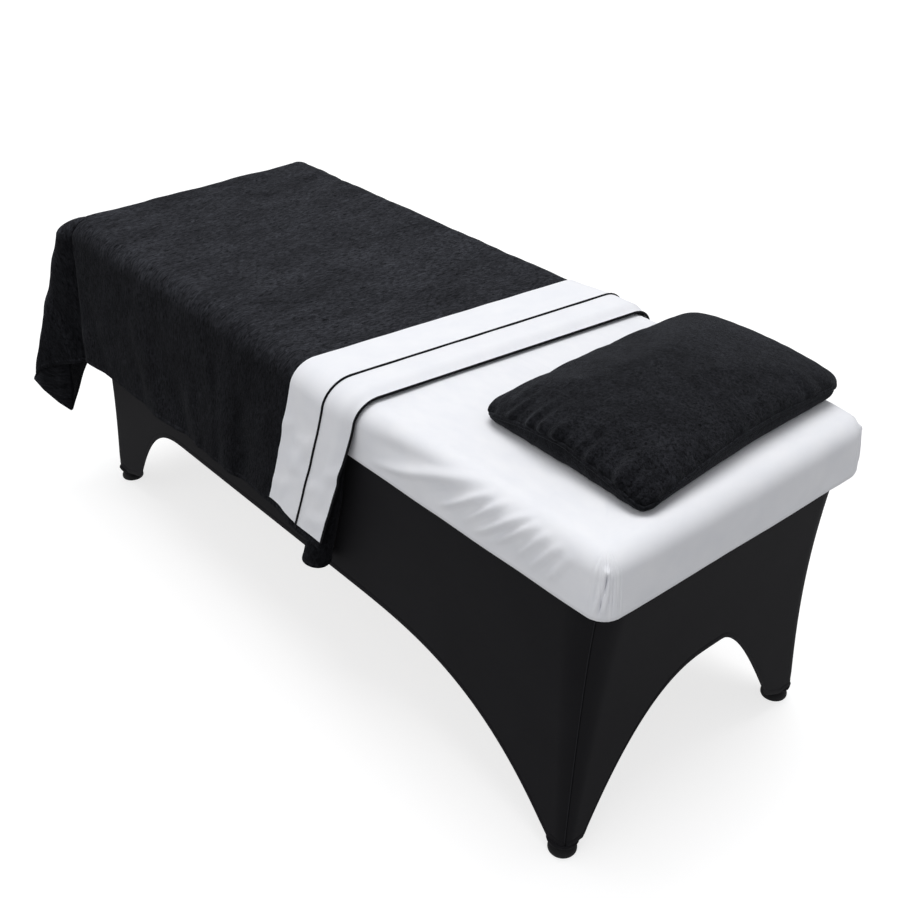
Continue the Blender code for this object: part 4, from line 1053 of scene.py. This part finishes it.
def build_pad():
    """Foam pad in cream vinyl: slightly crowned, its sides drawn in between the corners, with a welt."""
    length = HALF_LENGTH - PAD_CLEARANCE
    width = HALF_WIDTH - PAD_CLEARANCE
    edge = SHEET_EDGE - PAD_CLEARANCE
    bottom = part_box("foam_pad")[0].z
    rows = top_profile(edge, PAD_UNDER_RADIUS, math.pi / 2, SHEET_TOP - PAD_CLEARANCE, bottom)
    under = steps(PAD_UNDER_STARTS, HALF_WIDTH - MIDDLE_STRIP, UNDER_ROWS)
    rows += [(inset, bottom, PAD_UNDER_DOWN + inset) for inset in under]
    points, outward, down, faces = ringed_surface(rows, length, width, SHEET_CORNER_RADIUS - PAD_CLEARANCE)
    last = RING_POINTS * (len(rows) - 1)
    faces += [tuple(reversed(face)) for face in middle_faces(last)]
    x, y = points[:, 0], points[:, 1]
    on_side = comes_in(down, *PAD_TUCK_FROM) * (1 - comes_in(down, *PAD_TUCK_ENDS))
    between = (1 - (x / length) ** 2) * np.abs(outward[:, 1]) + (1 - (y / width) ** 2) * np.abs(outward[:, 0])
    relief = ripples(x, y, PAD_UNEVEN) * (down < PAD_UNEVEN_ENDS) - PAD_SIDE_TUCK * on_side * between
    points = raised(points, faces, relief - corner_sink(points))
    points[:, 0] += MIDDLE
    piece = mesh_piece("pad_cushion", points, faces, vinyl)
    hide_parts("foam_pad", "pad_upholstery")
    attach(piece, "table")
    welt_corner = SHEET_CORNER_RADIUS - PAD_WELT_CORNER_INSET
    ring, _ = outline(length - PAD_WELT_INSET, width - PAD_WELT_INSET, welt_corner)
    line = np.column_stack((ring[:, 0] + MIDDLE, ring[:, 1], np.full(len(ring), bottom + PAD_WELT_HEIGHT)))
    welt = loop_tube("pad_welt", line[::2], PAD_WELT_RADIUS, vinyl)
    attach(welt, "table")


# Blanket, turned-under edge, band and piping

def hanging_line(place, across, heading, length, rows):
    """Cloth places from the flat top's border out to the hem, heading from the side to the foot end."""
    side = -1 if across < 0 else 1
    hem = [length - distance for distance in hem_rows()]
    drops = steps(0.0, EDGE_WRAP, WRAP_ROWS) + steps(EDGE_WRAP, hem[0], rows)[1:] + hem[1:]
    return [(place - drop * math.sin(heading), across + side * drop * math.cos(heading)) for drop in drops]


def corner_lines(side, count, rows):
    """Lines that fan out over one foot corner of the blanket, each as long as the square cloth allows."""
    lines = []
    for k in range(1, count):
        heading = math.pi / 2 * k / count
        length = min(BLANKET_SIDE_DROP / math.cos(heading), BLANKET_END_DROP / math.sin(heading))
        lines.append(hanging_line(-FLAT_HALF_LENGTH, side * FLAT_HALF_WIDTH, heading, length, rows))
    return lines


def between_lines(lines):
    """Faces between neighbouring lines of cloth places, with repeated corners dropped."""
    faces = []
    for first, second in zip(lines, lines[1:]):
        for k in range(len(first) - 1):
            faces.append(tuple(dict.fromkeys((first[k], first[k + 1], second[k + 1], second[k]))))
    return faces


def numbered(faces):
    """Unique places of some faces as an array, and the faces by number."""
    places = list(dict.fromkeys(place for face in faces for place in face))
    number = {place: k for k, place in enumerate(places)}
    return np.array(places), [tuple(number[place] for place in face) for face in faces]


def blanket_relief(place, across):
    """Height of the blanket's soft folds: faint over the top, deeper as it hangs."""
    past_end, past_side = past_edges(place, across)
    hanging = hang(np.hypot(past_end, past_side))
    along = np.where(past_end > past_side, across, place)
    folds = np.zeros_like(place)
    for height, wavelength, slant, phase in BLANKET_FOLDS:
        folds += height * np.sin(2 * math.pi * (along + slant * hanging) / wavelength + phase)
    folds *= ease(hanging / BLANKET_FOLDS_FULL_AT)
    over_top = sum(ripples(place, across, uneven) for uneven in BLANKET_UNEVEN)
    return ease((BAND_FOOT_EDGE - place) / BLANKET_CALM_BY_BAND) * (folds + over_top)


def blanket_hem_distance(place, across):
    """Distance on the flat cloth from the blanket's nearest cut edge."""
    to_side = FLAT_HALF_WIDTH + BLANKET_SIDE_DROP - np.abs(across)
    to_end = FLAT_HALF_LENGTH + BLANKET_END_DROP + place
    return np.minimum(np.minimum(to_side, to_end), BLANKET_HEAD_EDGE - place)


def build_blanket():
    """Black fleece blanket over the foot of the table, with a cone fold hanging at each foot corner."""
    head = [BLANKET_HEAD_EDGE - distance for distance in BLANKET_HEAD_ROWS]
    along = head + steps(BLANKET_HEAD_EDGE - BLANKET_HEAD_STRIP, -FLAT_HALF_LENGTH, BLANKET_ROWS)
    over = steps(-FLAT_HALF_WIDTH, FLAT_HALF_WIDTH, BLANKET_COLUMNS)
    rows = BLANKET_HANGING_ROWS
    top = [[(x, y) for y in over] for x in along]
    skirt = [hanging_line(x, FLAT_HALF_WIDTH, 0.0, BLANKET_SIDE_DROP, rows) for x in along]
    skirt += corner_lines(1, BLANKET_CORNER_LINES, rows)
    end_lines = [hanging_line(-FLAT_HALF_LENGTH, y, math.pi / 2, BLANKET_END_DROP, rows) for y in over]
    skirt += reversed(end_lines)
    skirt += reversed(corner_lines(-1, BLANKET_CORNER_LINES, rows))
    skirt += [hanging_line(x, -FLAT_HALF_WIDTH, 0.0, BLANKET_SIDE_DROP, rows) for x in reversed(along)]
    places, faces = numbered(between_lines(top) + between_lines(skirt))
    distance = np.maximum(blanket_hem_distance(places[:, 0], places[:, 1]), 0.0)
    mirrored = (2 * BLANKET_LENGTH, BLANKET_WIDTH)
    from_head = places[:, 0] - BLANKET_HEAD_EDGE
    from_head, across = round_corners(from_head, places[:, 1], mirrored, BLANKET_CORNER_RADIUS)
    place = BLANKET_HEAD_EDGE + from_head
    points = raised(drape(place, across, BLANKET_HEIGHT), faces, blanket_relief(place, across))
    half = rim_profile(distance, BLANKET_THICKNESS)
    half += hem_relief(distance) * ease(distance / HEM_FADES_OVER)
    piece = cloth_piece("blanket_cloth", points, faces, half, fleece, np.column_stack((place, across)))
    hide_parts("blanket")
    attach(piece, "table")


def across_places(drop, rows):
    """Places across the cloth, from the front hem over the top to the back hem."""
    hanging = [FLAT_HALF_WIDTH + length for length in steps(0.0, EDGE_WRAP, WRAP_ROWS)[1:]]
    hem = [FLAT_HALF_WIDTH + drop - distance for distance in hem_rows()]
    hanging += steps(FLAT_HALF_WIDTH + EDGE_WRAP, hem[0], rows)[1:] + hem[1:]
    over = steps(-FLAT_HALF_WIDTH, FLAT_HALF_WIDTH, ACROSS_COLUMNS)
    return [-y for y in reversed(hanging)] + over + hanging


def build_underfold():
    """Head edge of the blanket turned under: flat across the top, a loose open roll down each side."""
    across = np.array(across_places(FOLD_DROP, FOLD_HANGING_ROWS))
    drop = side_drop(across)
    hanging = hang(drop)
    turn = np.minimum(drop / SHEET_EDGE, math.pi / 2)
    outside = FOLD_TOP_THICKNESS + hanging * math.sin(FOLD_FLARE) + fold_swell(drop)
    inside = -FOLD_TUCK * ease((hanging - FOLD_TUCK_STARTS) / FOLD_TUCK_LENGTH)
    half = (outside - inside) / 2
    radius = SHEET_EDGE + FOLD_LIFT + (outside + inside) / 2
    middle_x = MIDDLE + FOLD_CENTRE + head_shift(np.full_like(across, BLANKET_HEAD_EDGE), across)
    middle_y = np.minimum(np.abs(across), FLAT_HALF_WIDTH) + radius * np.sin(turn)
    middle_z = SHEET_TOP + radius * np.cos(turn) - SHEET_EDGE - hanging
    angle = full_turn(FOLD_SIDES)
    out = (half - FOLD_CLOTH / 2)[:, None] * np.sin(angle)
    reach = (FOLD_HALF_WIDTH - FOLD_CLOTH / 2) * np.cos(angle)
    ripple = FOLD_RIPPLE * np.sin(3 * angle) * ease(hanging / FOLD_RIPPLE_FULL_AT)[:, None]
    x = middle_x[:, None] + reach + ripple
    y = np.sign(across)[:, None] * (middle_y[:, None] + out * np.sin(turn)[:, None])
    z = middle_z[:, None] + out * np.cos(turn)[:, None]
    points = np.stack((x, y, z), axis=2).reshape(-1, 3)
    faces = [tuple(reversed(face)) for face in grid_faces(len(across), FOLD_SIDES, closed=True)]
    distance = np.repeat(FLAT_HALF_WIDTH + FOLD_DROP - np.abs(across), FOLD_SIDES)
    thickness = rim_profile(distance, FOLD_CLOTH)
    thickness += FOLD_HEM_STRENGTH * hem_relief(distance) * ease(distance / HEM_FADES_OVER)
    flat = np.column_stack((np.tile(angle * FOLD_CLOTH_RADIUS, len(across)), np.repeat(across, FOLD_SIDES)))
    piece = cloth_piece("underfold_cloth", points, faces, thickness, fleece, flat)
    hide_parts("blanket_underfold")
    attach(piece, "table")


def band_relief(place, across):
    """Height of the band's creases: almost none on top, slanting and crisp on its hanging ends."""
    hanging = hang(side_drop(across))
    slant = place + BAND_CREASE_SLANT * hanging
    creases = sum(ripples(slant, stretched * hanging, uneven) for stretched, uneven in BAND_CREASES)
    calm = 1 - BAND_SEAM_CALM * bump_at(place, PIPINGS["middle"][0], BAND_SEAM_CALM_WIDTH)
    creases *= calm * ease(hanging / BAND_CREASES_FULL_AT)
    return np.maximum(creases, -BAND_CREASE_DEPTH) + ripples(place, across, BAND_UNEVEN)


def build_band():
    """White turn-down band over the blanket's head end."""
    places_along = [BAND_HEAD_EDGE - distance for distance in BAND_EDGE_ROWS]
    places_along += steps(BAND_HEAD_EDGE - BAND_EDGE_STRIP, BAND_FOOT_EDGE + BAND_EDGE_STRIP, BAND_ROWS)
    places_along += [BAND_FOOT_EDGE + distance for distance in reversed(BAND_EDGE_ROWS)]
    over = across_places(BAND_DROP, BAND_HANGING_ROWS)
    places, faces = numbered(between_lines([[(x, y) for y in over] for x in places_along]))
    place, across = places[:, 0], places[:, 1]
    to_hem = FLAT_HALF_WIDTH + BAND_DROP - np.abs(across)
    distance = np.minimum(np.minimum(BAND_HEAD_EDGE - place, place - BAND_FOOT_EDGE), to_hem)
    points = raised(drape(place, across, BAND_HEIGHT), faces, band_relief(place, across))
    half = rim_profile(np.maximum(distance, 0.0), BAND_THICKNESS)
    piece = cloth_piece("band_cloth", points, faces, half, cotton, places)
    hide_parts("turn_down_band")
    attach(piece, "table")


def build_pipings():
    """Black piping down the band's middle and along its head edge."""
    for name, (place, height) in PIPINGS.items():
        across = np.array(across_places(BAND_DROP, PIPING_HANGING_ROWS))
        places = np.full_like(across, place)
        line = drape(places, across, height)
        relief = band_relief(places, across)
        line[:, 1] += np.where(np.abs(across) > FLAT_HALF_WIDTH, np.sign(across) * relief, 0.0)
        piece = tube_piece(f"piping_{name}_cord", line, PIPING_RADIUS, piping, 12)
        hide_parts(f"band_piping_{name}")
        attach(piece, "table")


# Stretch cover

def panel_points(share, z, lengthwise):
    """Points on a cover panel: share of the way from the panel's middle to its corner seam."""
    half_length, half_width, radius = cover_section(z)
    along, across = (half_length, half_width) if lengthwise else (half_width, half_length)
    straight = along - radius
    place = share * (straight + radius * math.sqrt(0.5) - SEAM_GAP)
    angle = np.arcsin(np.clip((np.abs(place) - straight) / radius, 0.0, 1.0))
    inner = radius - COVER_THICKNESS / 2
    held = np.sign(place) * (np.minimum(np.abs(place), straight) + inner * np.sin(angle))
    return held, across - radius + inner * np.cos(angle)


def build_cover_panel(name, lengthwise, sign):
    """One panel of the stretch cover, from the deck's edge down to its arched, stitched hem."""
    half_length, half_width, radius = cover_section(COVER_STRIP_BOTTOM)
    seam = (half_length if lengthwise else half_width) - radius * (1 - math.sqrt(0.5))
    side_halves = (SIDE_ARCH_TO_FOOT, SIDE_ARCH_TO_HEAD)
    end_halves = (END_ARCH_TO_FRONT, END_ARCH_TO_BACK)
    halves = side_halves if lengthwise else end_halves
    columns = COVER_SIDE_COLUMNS if lengthwise else COVER_END_COLUMNS
    shares = np.sin(math.pi / 2 * np.linspace(-1, 1, columns + 1))
    edge_shares = 1 - np.array(COVER_SEAM_SHARES)
    shares = np.concatenate((-edge_shares, shares[2:-2], edge_shares[::-1]))
    low = arch_height(shares * seam, *halves)
    hem_lines = hem_rows(COVER_HEM)
    rows = [np.full_like(shares, COVER_TOP - drop) for drop in COVER_TOP_DROPS]
    rows += steps(DECK_BOTTOM, low + hem_lines[0], COVER_ROWS)
    rows += [low + distance for distance in hem_lines[1:]]
    z = np.stack(rows)
    share = np.broadcast_to(shares, z.shape)
    place, reach = panel_points(share.ravel(), z.ravel(), lengthwise)
    x, y = (place, sign * reach) if lengthwise else (sign * reach, place)
    points = np.column_stack((MIDDLE + x, y, z.ravel()))
    faces = grid_faces(len(z), len(shares))
    if (sign < 0) != lengthwise:
        faces = [tuple(reversed(face)) for face in faces]
    to_hem = (z - low).ravel()
    to_seam = ((1 - np.abs(share)) * seam).ravel()
    distance = np.minimum(np.minimum(to_hem, to_seam), (COVER_TOP - z).ravel())
    half = rim_profile(np.maximum(distance, 0.0), COVER_THICKNESS)
    half += hem_relief(to_hem, COVER_HEM) * ease(distance / HEM_FADES_OVER)
    flat = np.column_stack((place, z.ravel()))
    piece = cloth_piece(f"cover_{name}_cloth", points, faces, half, stretch, flat)
    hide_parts(f"cover_panel_{name}")
    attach(piece, "table")


def foot_ring(sx, sy, radius, angle, z):
    """Level ring of points round the axis of the foot at one corner."""
    x = MIDDLE + sx * FOOT_X + radius * np.cos(angle)
    y = sy * FOOT_Y + radius * np.sin(angle)
    return np.column_stack((x, y, np.full(len(angle), z)))


def build_sleeve(corner, sx, sy):
    """Gathered end of the cover, drawn in round the foot of one leg below the panels' tips."""
    angle = full_turn(SLEEVE_SIDES)
    rings = []
    for radius, z in SLEEVE_SECTION:
        ring = np.full(SLEEVE_SIDES, radius - COVER_THICKNESS / 2)
        for height, level, count, phase in SLEEVE_GATHERS:
            ring += height * bump_at(z, level, SLEEVE_GATHER_REACH) * np.sin(count * angle + phase)
        rings.append(foot_ring(sx, sy, ring, angle, z))
    points = np.concatenate(rings)
    faces = grid_faces(len(rings), SLEEVE_SIDES, closed=True)
    distance = np.minimum(SLEEVE_SECTION[0][1] - points[:, 2], points[:, 2] - SLEEVE_SECTION[-1][1])
    half = rim_profile(distance, SLEEVE_THICKNESS)
    flat = np.column_stack((np.tile(angle * SLEEVE_CLOTH_RADIUS, len(rings)), points[:, 2]))
    piece = cloth_piece(f"sleeve_{corner}_cloth", points, faces, half, stretch, flat)
    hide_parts(f"cover_sleeve_{corner}")
    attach(piece, "table")


def build_corner_seam(corner, sx, sy):
    """Sewn seam where two panels meet, a thin cord of turned-in cloth behind the gap."""
    z = np.array(steps(COVER_TOP - SEAM_TOP_GAP, COVER_TIP_BOTTOM + SEAM_TIP_GAP, SEAM_ROWS))
    half_length, half_width, radius = cover_section(z)
    out = (radius - COVER_THICKNESS / 2 - SEAM_SINK) * math.sqrt(0.5)
    x = MIDDLE + sx * (half_length - radius + out)
    y = sy * (half_width - radius + out)
    piece = tube_piece(f"seam_{corner}_cord", np.column_stack((x, y, z)), SEAM_CORD_RADIUS, thread)
    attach(piece, "table")


def build_cover():
    """Four arched panels sewn at the corners, and a sleeve round the foot of each leg."""
    build_cover_panel("front", True, -1)
    build_cover_panel("back", True, 1)
    build_cover_panel("head", False, 1)
    build_cover_panel("foot", False, -1)
    for corner, (sx, sy) in CORNERS.items():
        build_sleeve(corner, sx, sy)
        build_corner_seam(corner, sx, sy)


# Levelling feet

def build_feet():
    """Round moulded feet with a grooved rim, each on its own levelling stem."""
    angle = full_turn(FOOT_SIDES)
    for corner, (sx, sy) in CORNERS.items():
        points = [foot_ring(sx, sy, radius, angle, z) for radius, z in FOOT_SECTION]
        faces = [tuple(reversed(face)) for face in grid_faces(len(FOOT_SECTION), FOOT_SIDES, closed=True)]
        faces.append(tuple(reversed(range(FOOT_SIDES))))
        last = FOOT_SIDES * (len(FOOT_SECTION) - 1)
        faces.append(tuple(range(last, last + FOOT_SIDES)))
        piece = mesh_piece(f"foot_{corner}_rubber", np.concatenate(points), faces, rubber)
        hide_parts(f"foot_pad_{corner}")
        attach(piece, f"level_foot_{corner}")


# Pillow

def pillow_panels():
    """Two flat panels sewn along their rim: points, their square places, faces, rim and panel size."""
    length, width = PILLOW_FLAT
    rows = round(length / PILLOW_CELL)
    columns = round(width / PILLOW_CELL)
    x, y = np.meshgrid(np.linspace(-length / 2, length / 2, rows + 1),
                       np.linspace(-width / 2, width / 2, columns + 1), indexing="ij")
    square = np.column_stack((x.ravel(), y.ravel()))
    x, y = round_corners(x, y, PILLOW_FLAT, PILLOW_CORNER_RADIUS)
    inside = (1 - (2 * x / length) ** 2) * (1 - (2 * y / width) ** 2)
    number = np.arange(x.size).reshape(x.shape)
    rim = np.concatenate((number[0, :-1], number[:-1, -1], number[-1, :0:-1], number[:0:-1, 0]))
    on_rim = np.zeros(x.size, dtype=bool)
    on_rim[rim] = True
    lower = np.where(on_rim, np.arange(x.size), x.size + np.cumsum(~on_rim) - 1)
    rise = PILLOW_START_RISE * np.clip(inside, 0.0, 1.0).ravel() + PILLOW_START_GAP
    top = np.column_stack((x.ravel(), y.ravel(), np.where(on_rim, 0.0, rise)))
    under = np.column_stack((x.ravel(), y.ravel(), -rise))[~on_rim]
    upper_faces = grid_faces(rows + 1, columns + 1)
    faces = upper_faces + [tuple(int(lower[k]) for k in reversed(face)) for face in upper_faces]
    return np.concatenate((top, under)), np.concatenate((square, square[~on_rim])), faces, rim[::-1], x.size


def inflate(piece):
    """Swell a closed cloth from inside, with no gravity, and return its points."""
    swell = piece.modifiers.new("swell", "CLOTH")
    for name, value in PILLOW_CLOTH.items():
        setattr(swell.settings, name, value)
    swell.settings.effector_weights.gravity = 0.0
    scene = bpy.context.scene
    for number in range(1, PILLOW_FRAMES + 1):
        scene.frame_set(number)
    evaluated = piece.evaluated_get(bpy.context.evaluated_depsgraph_get())
    points = np.empty(3 * len(evaluated.data.vertices))
    evaluated.data.vertices.foreach_get("co", points)
    piece.modifiers.remove(swell)
    scene.frame_set(1)
    return points.reshape(-1, 3)


def turned_in(place, half, taken, reach):
    """Place on the pillow, in halves of its size, once its cloth is turned over a round side."""
    distance = half * (1 - np.abs(place))
    turn = np.clip(distance / taken, 0.0, 1.0)
    inner = reach + (distance - taken) * (half - reach) / (half - taken)
    turned = np.where(distance < taken, reach * (1 - np.cos(turn * math.pi / 2)), inner)
    return np.sign(place) * (1 - turned / half), turn


def seat_pillow(swollen, flat, square, panel_size):
    """Bring an inflated pillow to size, rest its underside on the sheet and let its corners droop."""
    swollen = swollen - (swollen.max(axis=0) + swollen.min(axis=0)) / 2
    size = swollen.max(axis=0) - swollen.min(axis=0)
    half = np.array(PILLOW_SIZE) / 2
    flat_half = np.array(PILLOW_FLAT) / 2
    pinch = PILLOW_PINCH * half * (swollen[:, :2] / (size[:2] / 2) - flat[:, :2] / flat_half)
    is_upper = np.arange(len(flat)) < panel_size
    taken, reach = np.where(is_upper[:, None], PILLOW_UPPER_SIDE, PILLOW_UNDER_SIDE).T
    u, turn_u = turned_in(square[:, 0] / flat_half[0], half[0], taken, reach)
    v, turn_v = turned_in(square[:, 1] / flat_half[1], half[1], taken, reach)
    droop = np.zeros(len(flat))
    for (su, sv), depth in PILLOW_DROOPS.items():
        droop += depth * np.maximum(su * u, 0.0) ** 2 * np.maximum(sv * v, 0.0) ** 2
    seam = PILLOW_BOTTOM + PILLOW_SEAM_HEIGHT - droop
    fullness = np.clip(np.abs(swollen[:, 2]) / (size[2] / 2), 0.0, 1.0)
    upper = seam + PILLOW_CROWN * fullness ** PILLOW_FULLNESS
    under = blend(seam, PILLOW_BOTTOM, np.sin(np.minimum(turn_u, turn_v) * math.pi / 2))
    x, y = round_corners(u * half[0], v * half[1], PILLOW_SIZE, PILLOW_CORNER_RADIUS)
    x = x + pinch[:, 0]
    y = y + pinch[:, 1]
    sheared_x = x + PILLOW_SHEAR[0] * y * (1 + u) / 2
    sheared_y = y + PILLOW_SHEAR[1] * x
    return np.column_stack((
        MIDDLE + PILLOW_CENTRE[0] + sheared_x, PILLOW_CENTRE[1] + sheared_y, np.where(is_upper, upper, under),
    ))


def pillow_wrinkles(flat):
    """Height of the creases that run in from the pillow's seam, deepest along the front."""
    x, y, z = flat.T
    from_sides = PILLOW_FLAT[1] / 2 - np.abs(y)
    from_ends = PILLOW_FLAT[0] / 2 - np.abs(x)
    at_sides = np.where(y < 0, PILLOW_CREASES["front"], PILLOW_CREASES["back"]) * run_in(from_sides)
    at_ends = np.where(x > 0, PILLOW_CREASES["head"], PILLOW_CREASES["foot"]) * run_in(from_ends)
    side_puffs = np.abs(ripples(x, PILLOW_CREASE_STRETCH * from_sides, PILLOW_SIDE_PUFFS))
    end_puffs = np.abs(ripples(PILLOW_CREASE_STRETCH * from_ends, y, PILLOW_END_PUFFS))
    creases = at_sides * (side_puffs - PILLOW_PUFF) + at_ends * (end_puffs - PILLOW_PUFF)
    return PILLOW_WRINKLE * creases * np.where(z > 0, 1.0, PILLOW_CREASES["under"])


def run_in(distance):
    """How strongly a crease shows at a distance from the seam: none on it, most just inside."""
    return ease(distance / PILLOW_CREASE_STARTS) * bump_at(distance, 0.0, PILLOW_CREASE_REACH)


def build_pillow():
    """Black velvet pillow, inflated from two sewn panels, with its seam and topstitching."""
    points, square, faces, rim, panel_size = pillow_panels()
    piece = mesh_piece("pillow_cushion", points, faces, velvet)
    swollen = inflate(piece)
    seated = seat_pillow(swollen, points, square, panel_size)
    seated = raised(seated, faces, pillow_wrinkles(points))
    seated[:, 2] = np.maximum(seated[:, 2], PILLOW_BOTTOM)
    piece.data.vertices.foreach_set("co", seated.ravel())
    piece.data.update()
    smooth = piece.modifiers.new("smooth", "SUBSURF")
    smooth.levels = 1
    smooth.render_levels = 1
    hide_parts("pillow")
    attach(piece, "loose_pillow")
    build_pillow_seam(seated[rim])


def build_pillow_seam(line):
    """Flat welt along the pillow's seam, with a row of stitches above and below it."""
    for _ in range(PILLOW_SEAM_SMOOTHING):
        line = (np.roll(line, 1, axis=0) + 2 * line + np.roll(line, -1, axis=0)) / 4
    welt = loop_tube("pillow_welt", line, PILLOW_WELT, velvet, PILLOW_WELT_SIDES, PILLOW_WELT_HEIGHT)
    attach(welt, "loose_pillow")
    outward = line - line.mean(axis=0)
    outward[:, 2] = 0.0
    outward /= np.linalg.norm(outward, axis=1)[:, None]
    for name, rise in (("upper", PILLOW_STITCH_RISE), ("lower", -PILLOW_STITCH_RISE)):
        facing = outward + np.array((0.0, 0.0, math.copysign(1.0, rise)))
        row = line + PILLOW_STITCH_OUT * outward + np.array((0.0, 0.0, rise))
        closed = [np.concatenate((values, values[:1])) for values in (row, facing)]
        sizes = (STITCH_PITCH, STITCH_LENGTH, STITCH_RADIUS)
        stitches = stitch_piece(f"pillow_stitches_{name}", *closed, *sizes, thread)
        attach(stitches, "loose_pillow")


# Finishes of the frame's own solids

def finish_nodes():
    """Give each solid that stays its own material."""
    kinds = (
        ("deck_board", "deck_board"), ("side_rail", "rail"), ("end_rail", "rail"), ("cross_bearer", "rail"),
        ("corner_block", "upright"), ("leg_plate", "leg_plate"), ("leg_", "leg"),
        ("plate_bolt", "zinc"), ("foot_stem", "zinc"), ("foot_bush", "foot_bush"),
    )
    for name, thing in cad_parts.items():
        for start, kind in kinds:
            if name.startswith(start):
                thing.data.materials.clear()
                thing.data.materials.append(NODE_MATERIALS[kind])
                break


# Stage

def build_floor():
    """Pale floor that shows white to the camera and keeps the object's shadow."""
    reach = FLOOR_REACH
    surface = bpy.data.materials.new("floor")
    surface.use_nodes = True
    tree = surface.node_tree
    tree.nodes.clear()
    seen = camera_rays(tree)
    matt = add_node(tree, "ShaderNodeBsdfDiffuse", Color=(FLOOR_TONE, FLOOR_TONE, FLOOR_TONE, 1.0))
    glow = add_node(tree, "ShaderNodeEmission", {"Strength": between_values(tree, seen, FLOOR_GLOW)})
    both = add_node(tree, "ShaderNodeAddShader")
    tree.links.new(matt.outputs[0], both.inputs[0])
    tree.links.new(glow.outputs[0], both.inputs[1])
    out = add_node(tree, "ShaderNodeOutputMaterial")
    tree.links.new(both.outputs[0], out.inputs["Surface"])
    corners = [(-reach, -reach, 0.0), (reach, -reach, 0.0), (reach, reach, 0.0), (-reach, reach, 0.0)]
    mesh_piece("floor", corners, [(0, 1, 2, 3)], surface)


def camera_rays(tree):
    """1 for rays that the camera, a reflection or a clear surface sends out."""
    path = add_node(tree, "ShaderNodeLightPath")
    seen = between_factors(tree, path.outputs["Is Camera Ray"], path.outputs["Is Glossy Ray"], "MAXIMUM")
    return between_factors(tree, seen, path.outputs["Is Transmission Ray"], "MAXIMUM")


def between_values(tree, factor, value):
    """Varying factor times a fixed value."""
    made = add_node(tree, "ShaderNodeMath", operation="MULTIPLY")
    tree.links.new(factor, made.inputs[0])
    made.inputs[1].default_value = value
    return made.outputs[0]


def build_lights():
    """Even surroundings, a broad soft key from nearly overhead, and a weak fill from the front."""
    world = bpy.data.worlds.new("studio")
    bpy.context.scene.world = world
    world.use_nodes = True
    tree = world.node_tree
    tree.nodes.clear()
    soft = add_node(tree, "ShaderNodeBackground", Color=SURROUNDINGS_TINT, Strength=SURROUNDINGS)
    white = add_node(tree, "ShaderNodeBackground", Color=(1.0, 1.0, 1.0, 1.0), Strength=1.0)
    mix = add_node(tree, "ShaderNodeMixShader")
    tree.links.new(camera_rays(tree), mix.inputs[0])
    tree.links.new(soft.outputs[0], mix.inputs[1])
    tree.links.new(white.outputs[0], mix.inputs[2])
    out = add_node(tree, "ShaderNodeOutputWorld")
    tree.links.new(mix.outputs[0], out.inputs["Surface"])
    for name, (strength, spread, from_upright, heading) in LAMPS.items():
        lamp = bpy.data.lights.new(name, "SUN")
        lamp.energy = strength
        lamp.angle = math.radians(spread)
        lamp_object = bpy.data.objects.new(name, lamp)
        lamp_object.rotation_euler = (0.0, math.radians(from_upright), math.radians(heading))
        bpy.context.scene.collection.objects.link(lamp_object)


def build_camera():
    """Camera where the photograph was taken from."""
    camera = bpy.data.cameras.new("camera")
    camera.lens = CAMERA_LENS
    camera.sensor_width = CAMERA_SENSOR
    camera.sensor_fit = "HORIZONTAL"
    camera_object = bpy.data.objects.new("camera", camera)
    camera_object.location = CAMERA_PLACE
    camera_object.rotation_euler = (math.radians(90 - CAMERA_ELEVATION), 0.0, math.radians(CAMERA_AZIMUTH))
    bpy.context.scene.collection.objects.link(camera_object)
    bpy.context.scene.camera = camera_object


build_camera()
build_pad()
build_sheet()
build_blanket()
build_underfold()
build_band()
build_pipings()
build_cover()
build_feet()
build_pillow()
finish_nodes()
build_floor()
build_lights()
bpy.context.scene.view_settings.view_transform = "Standard"
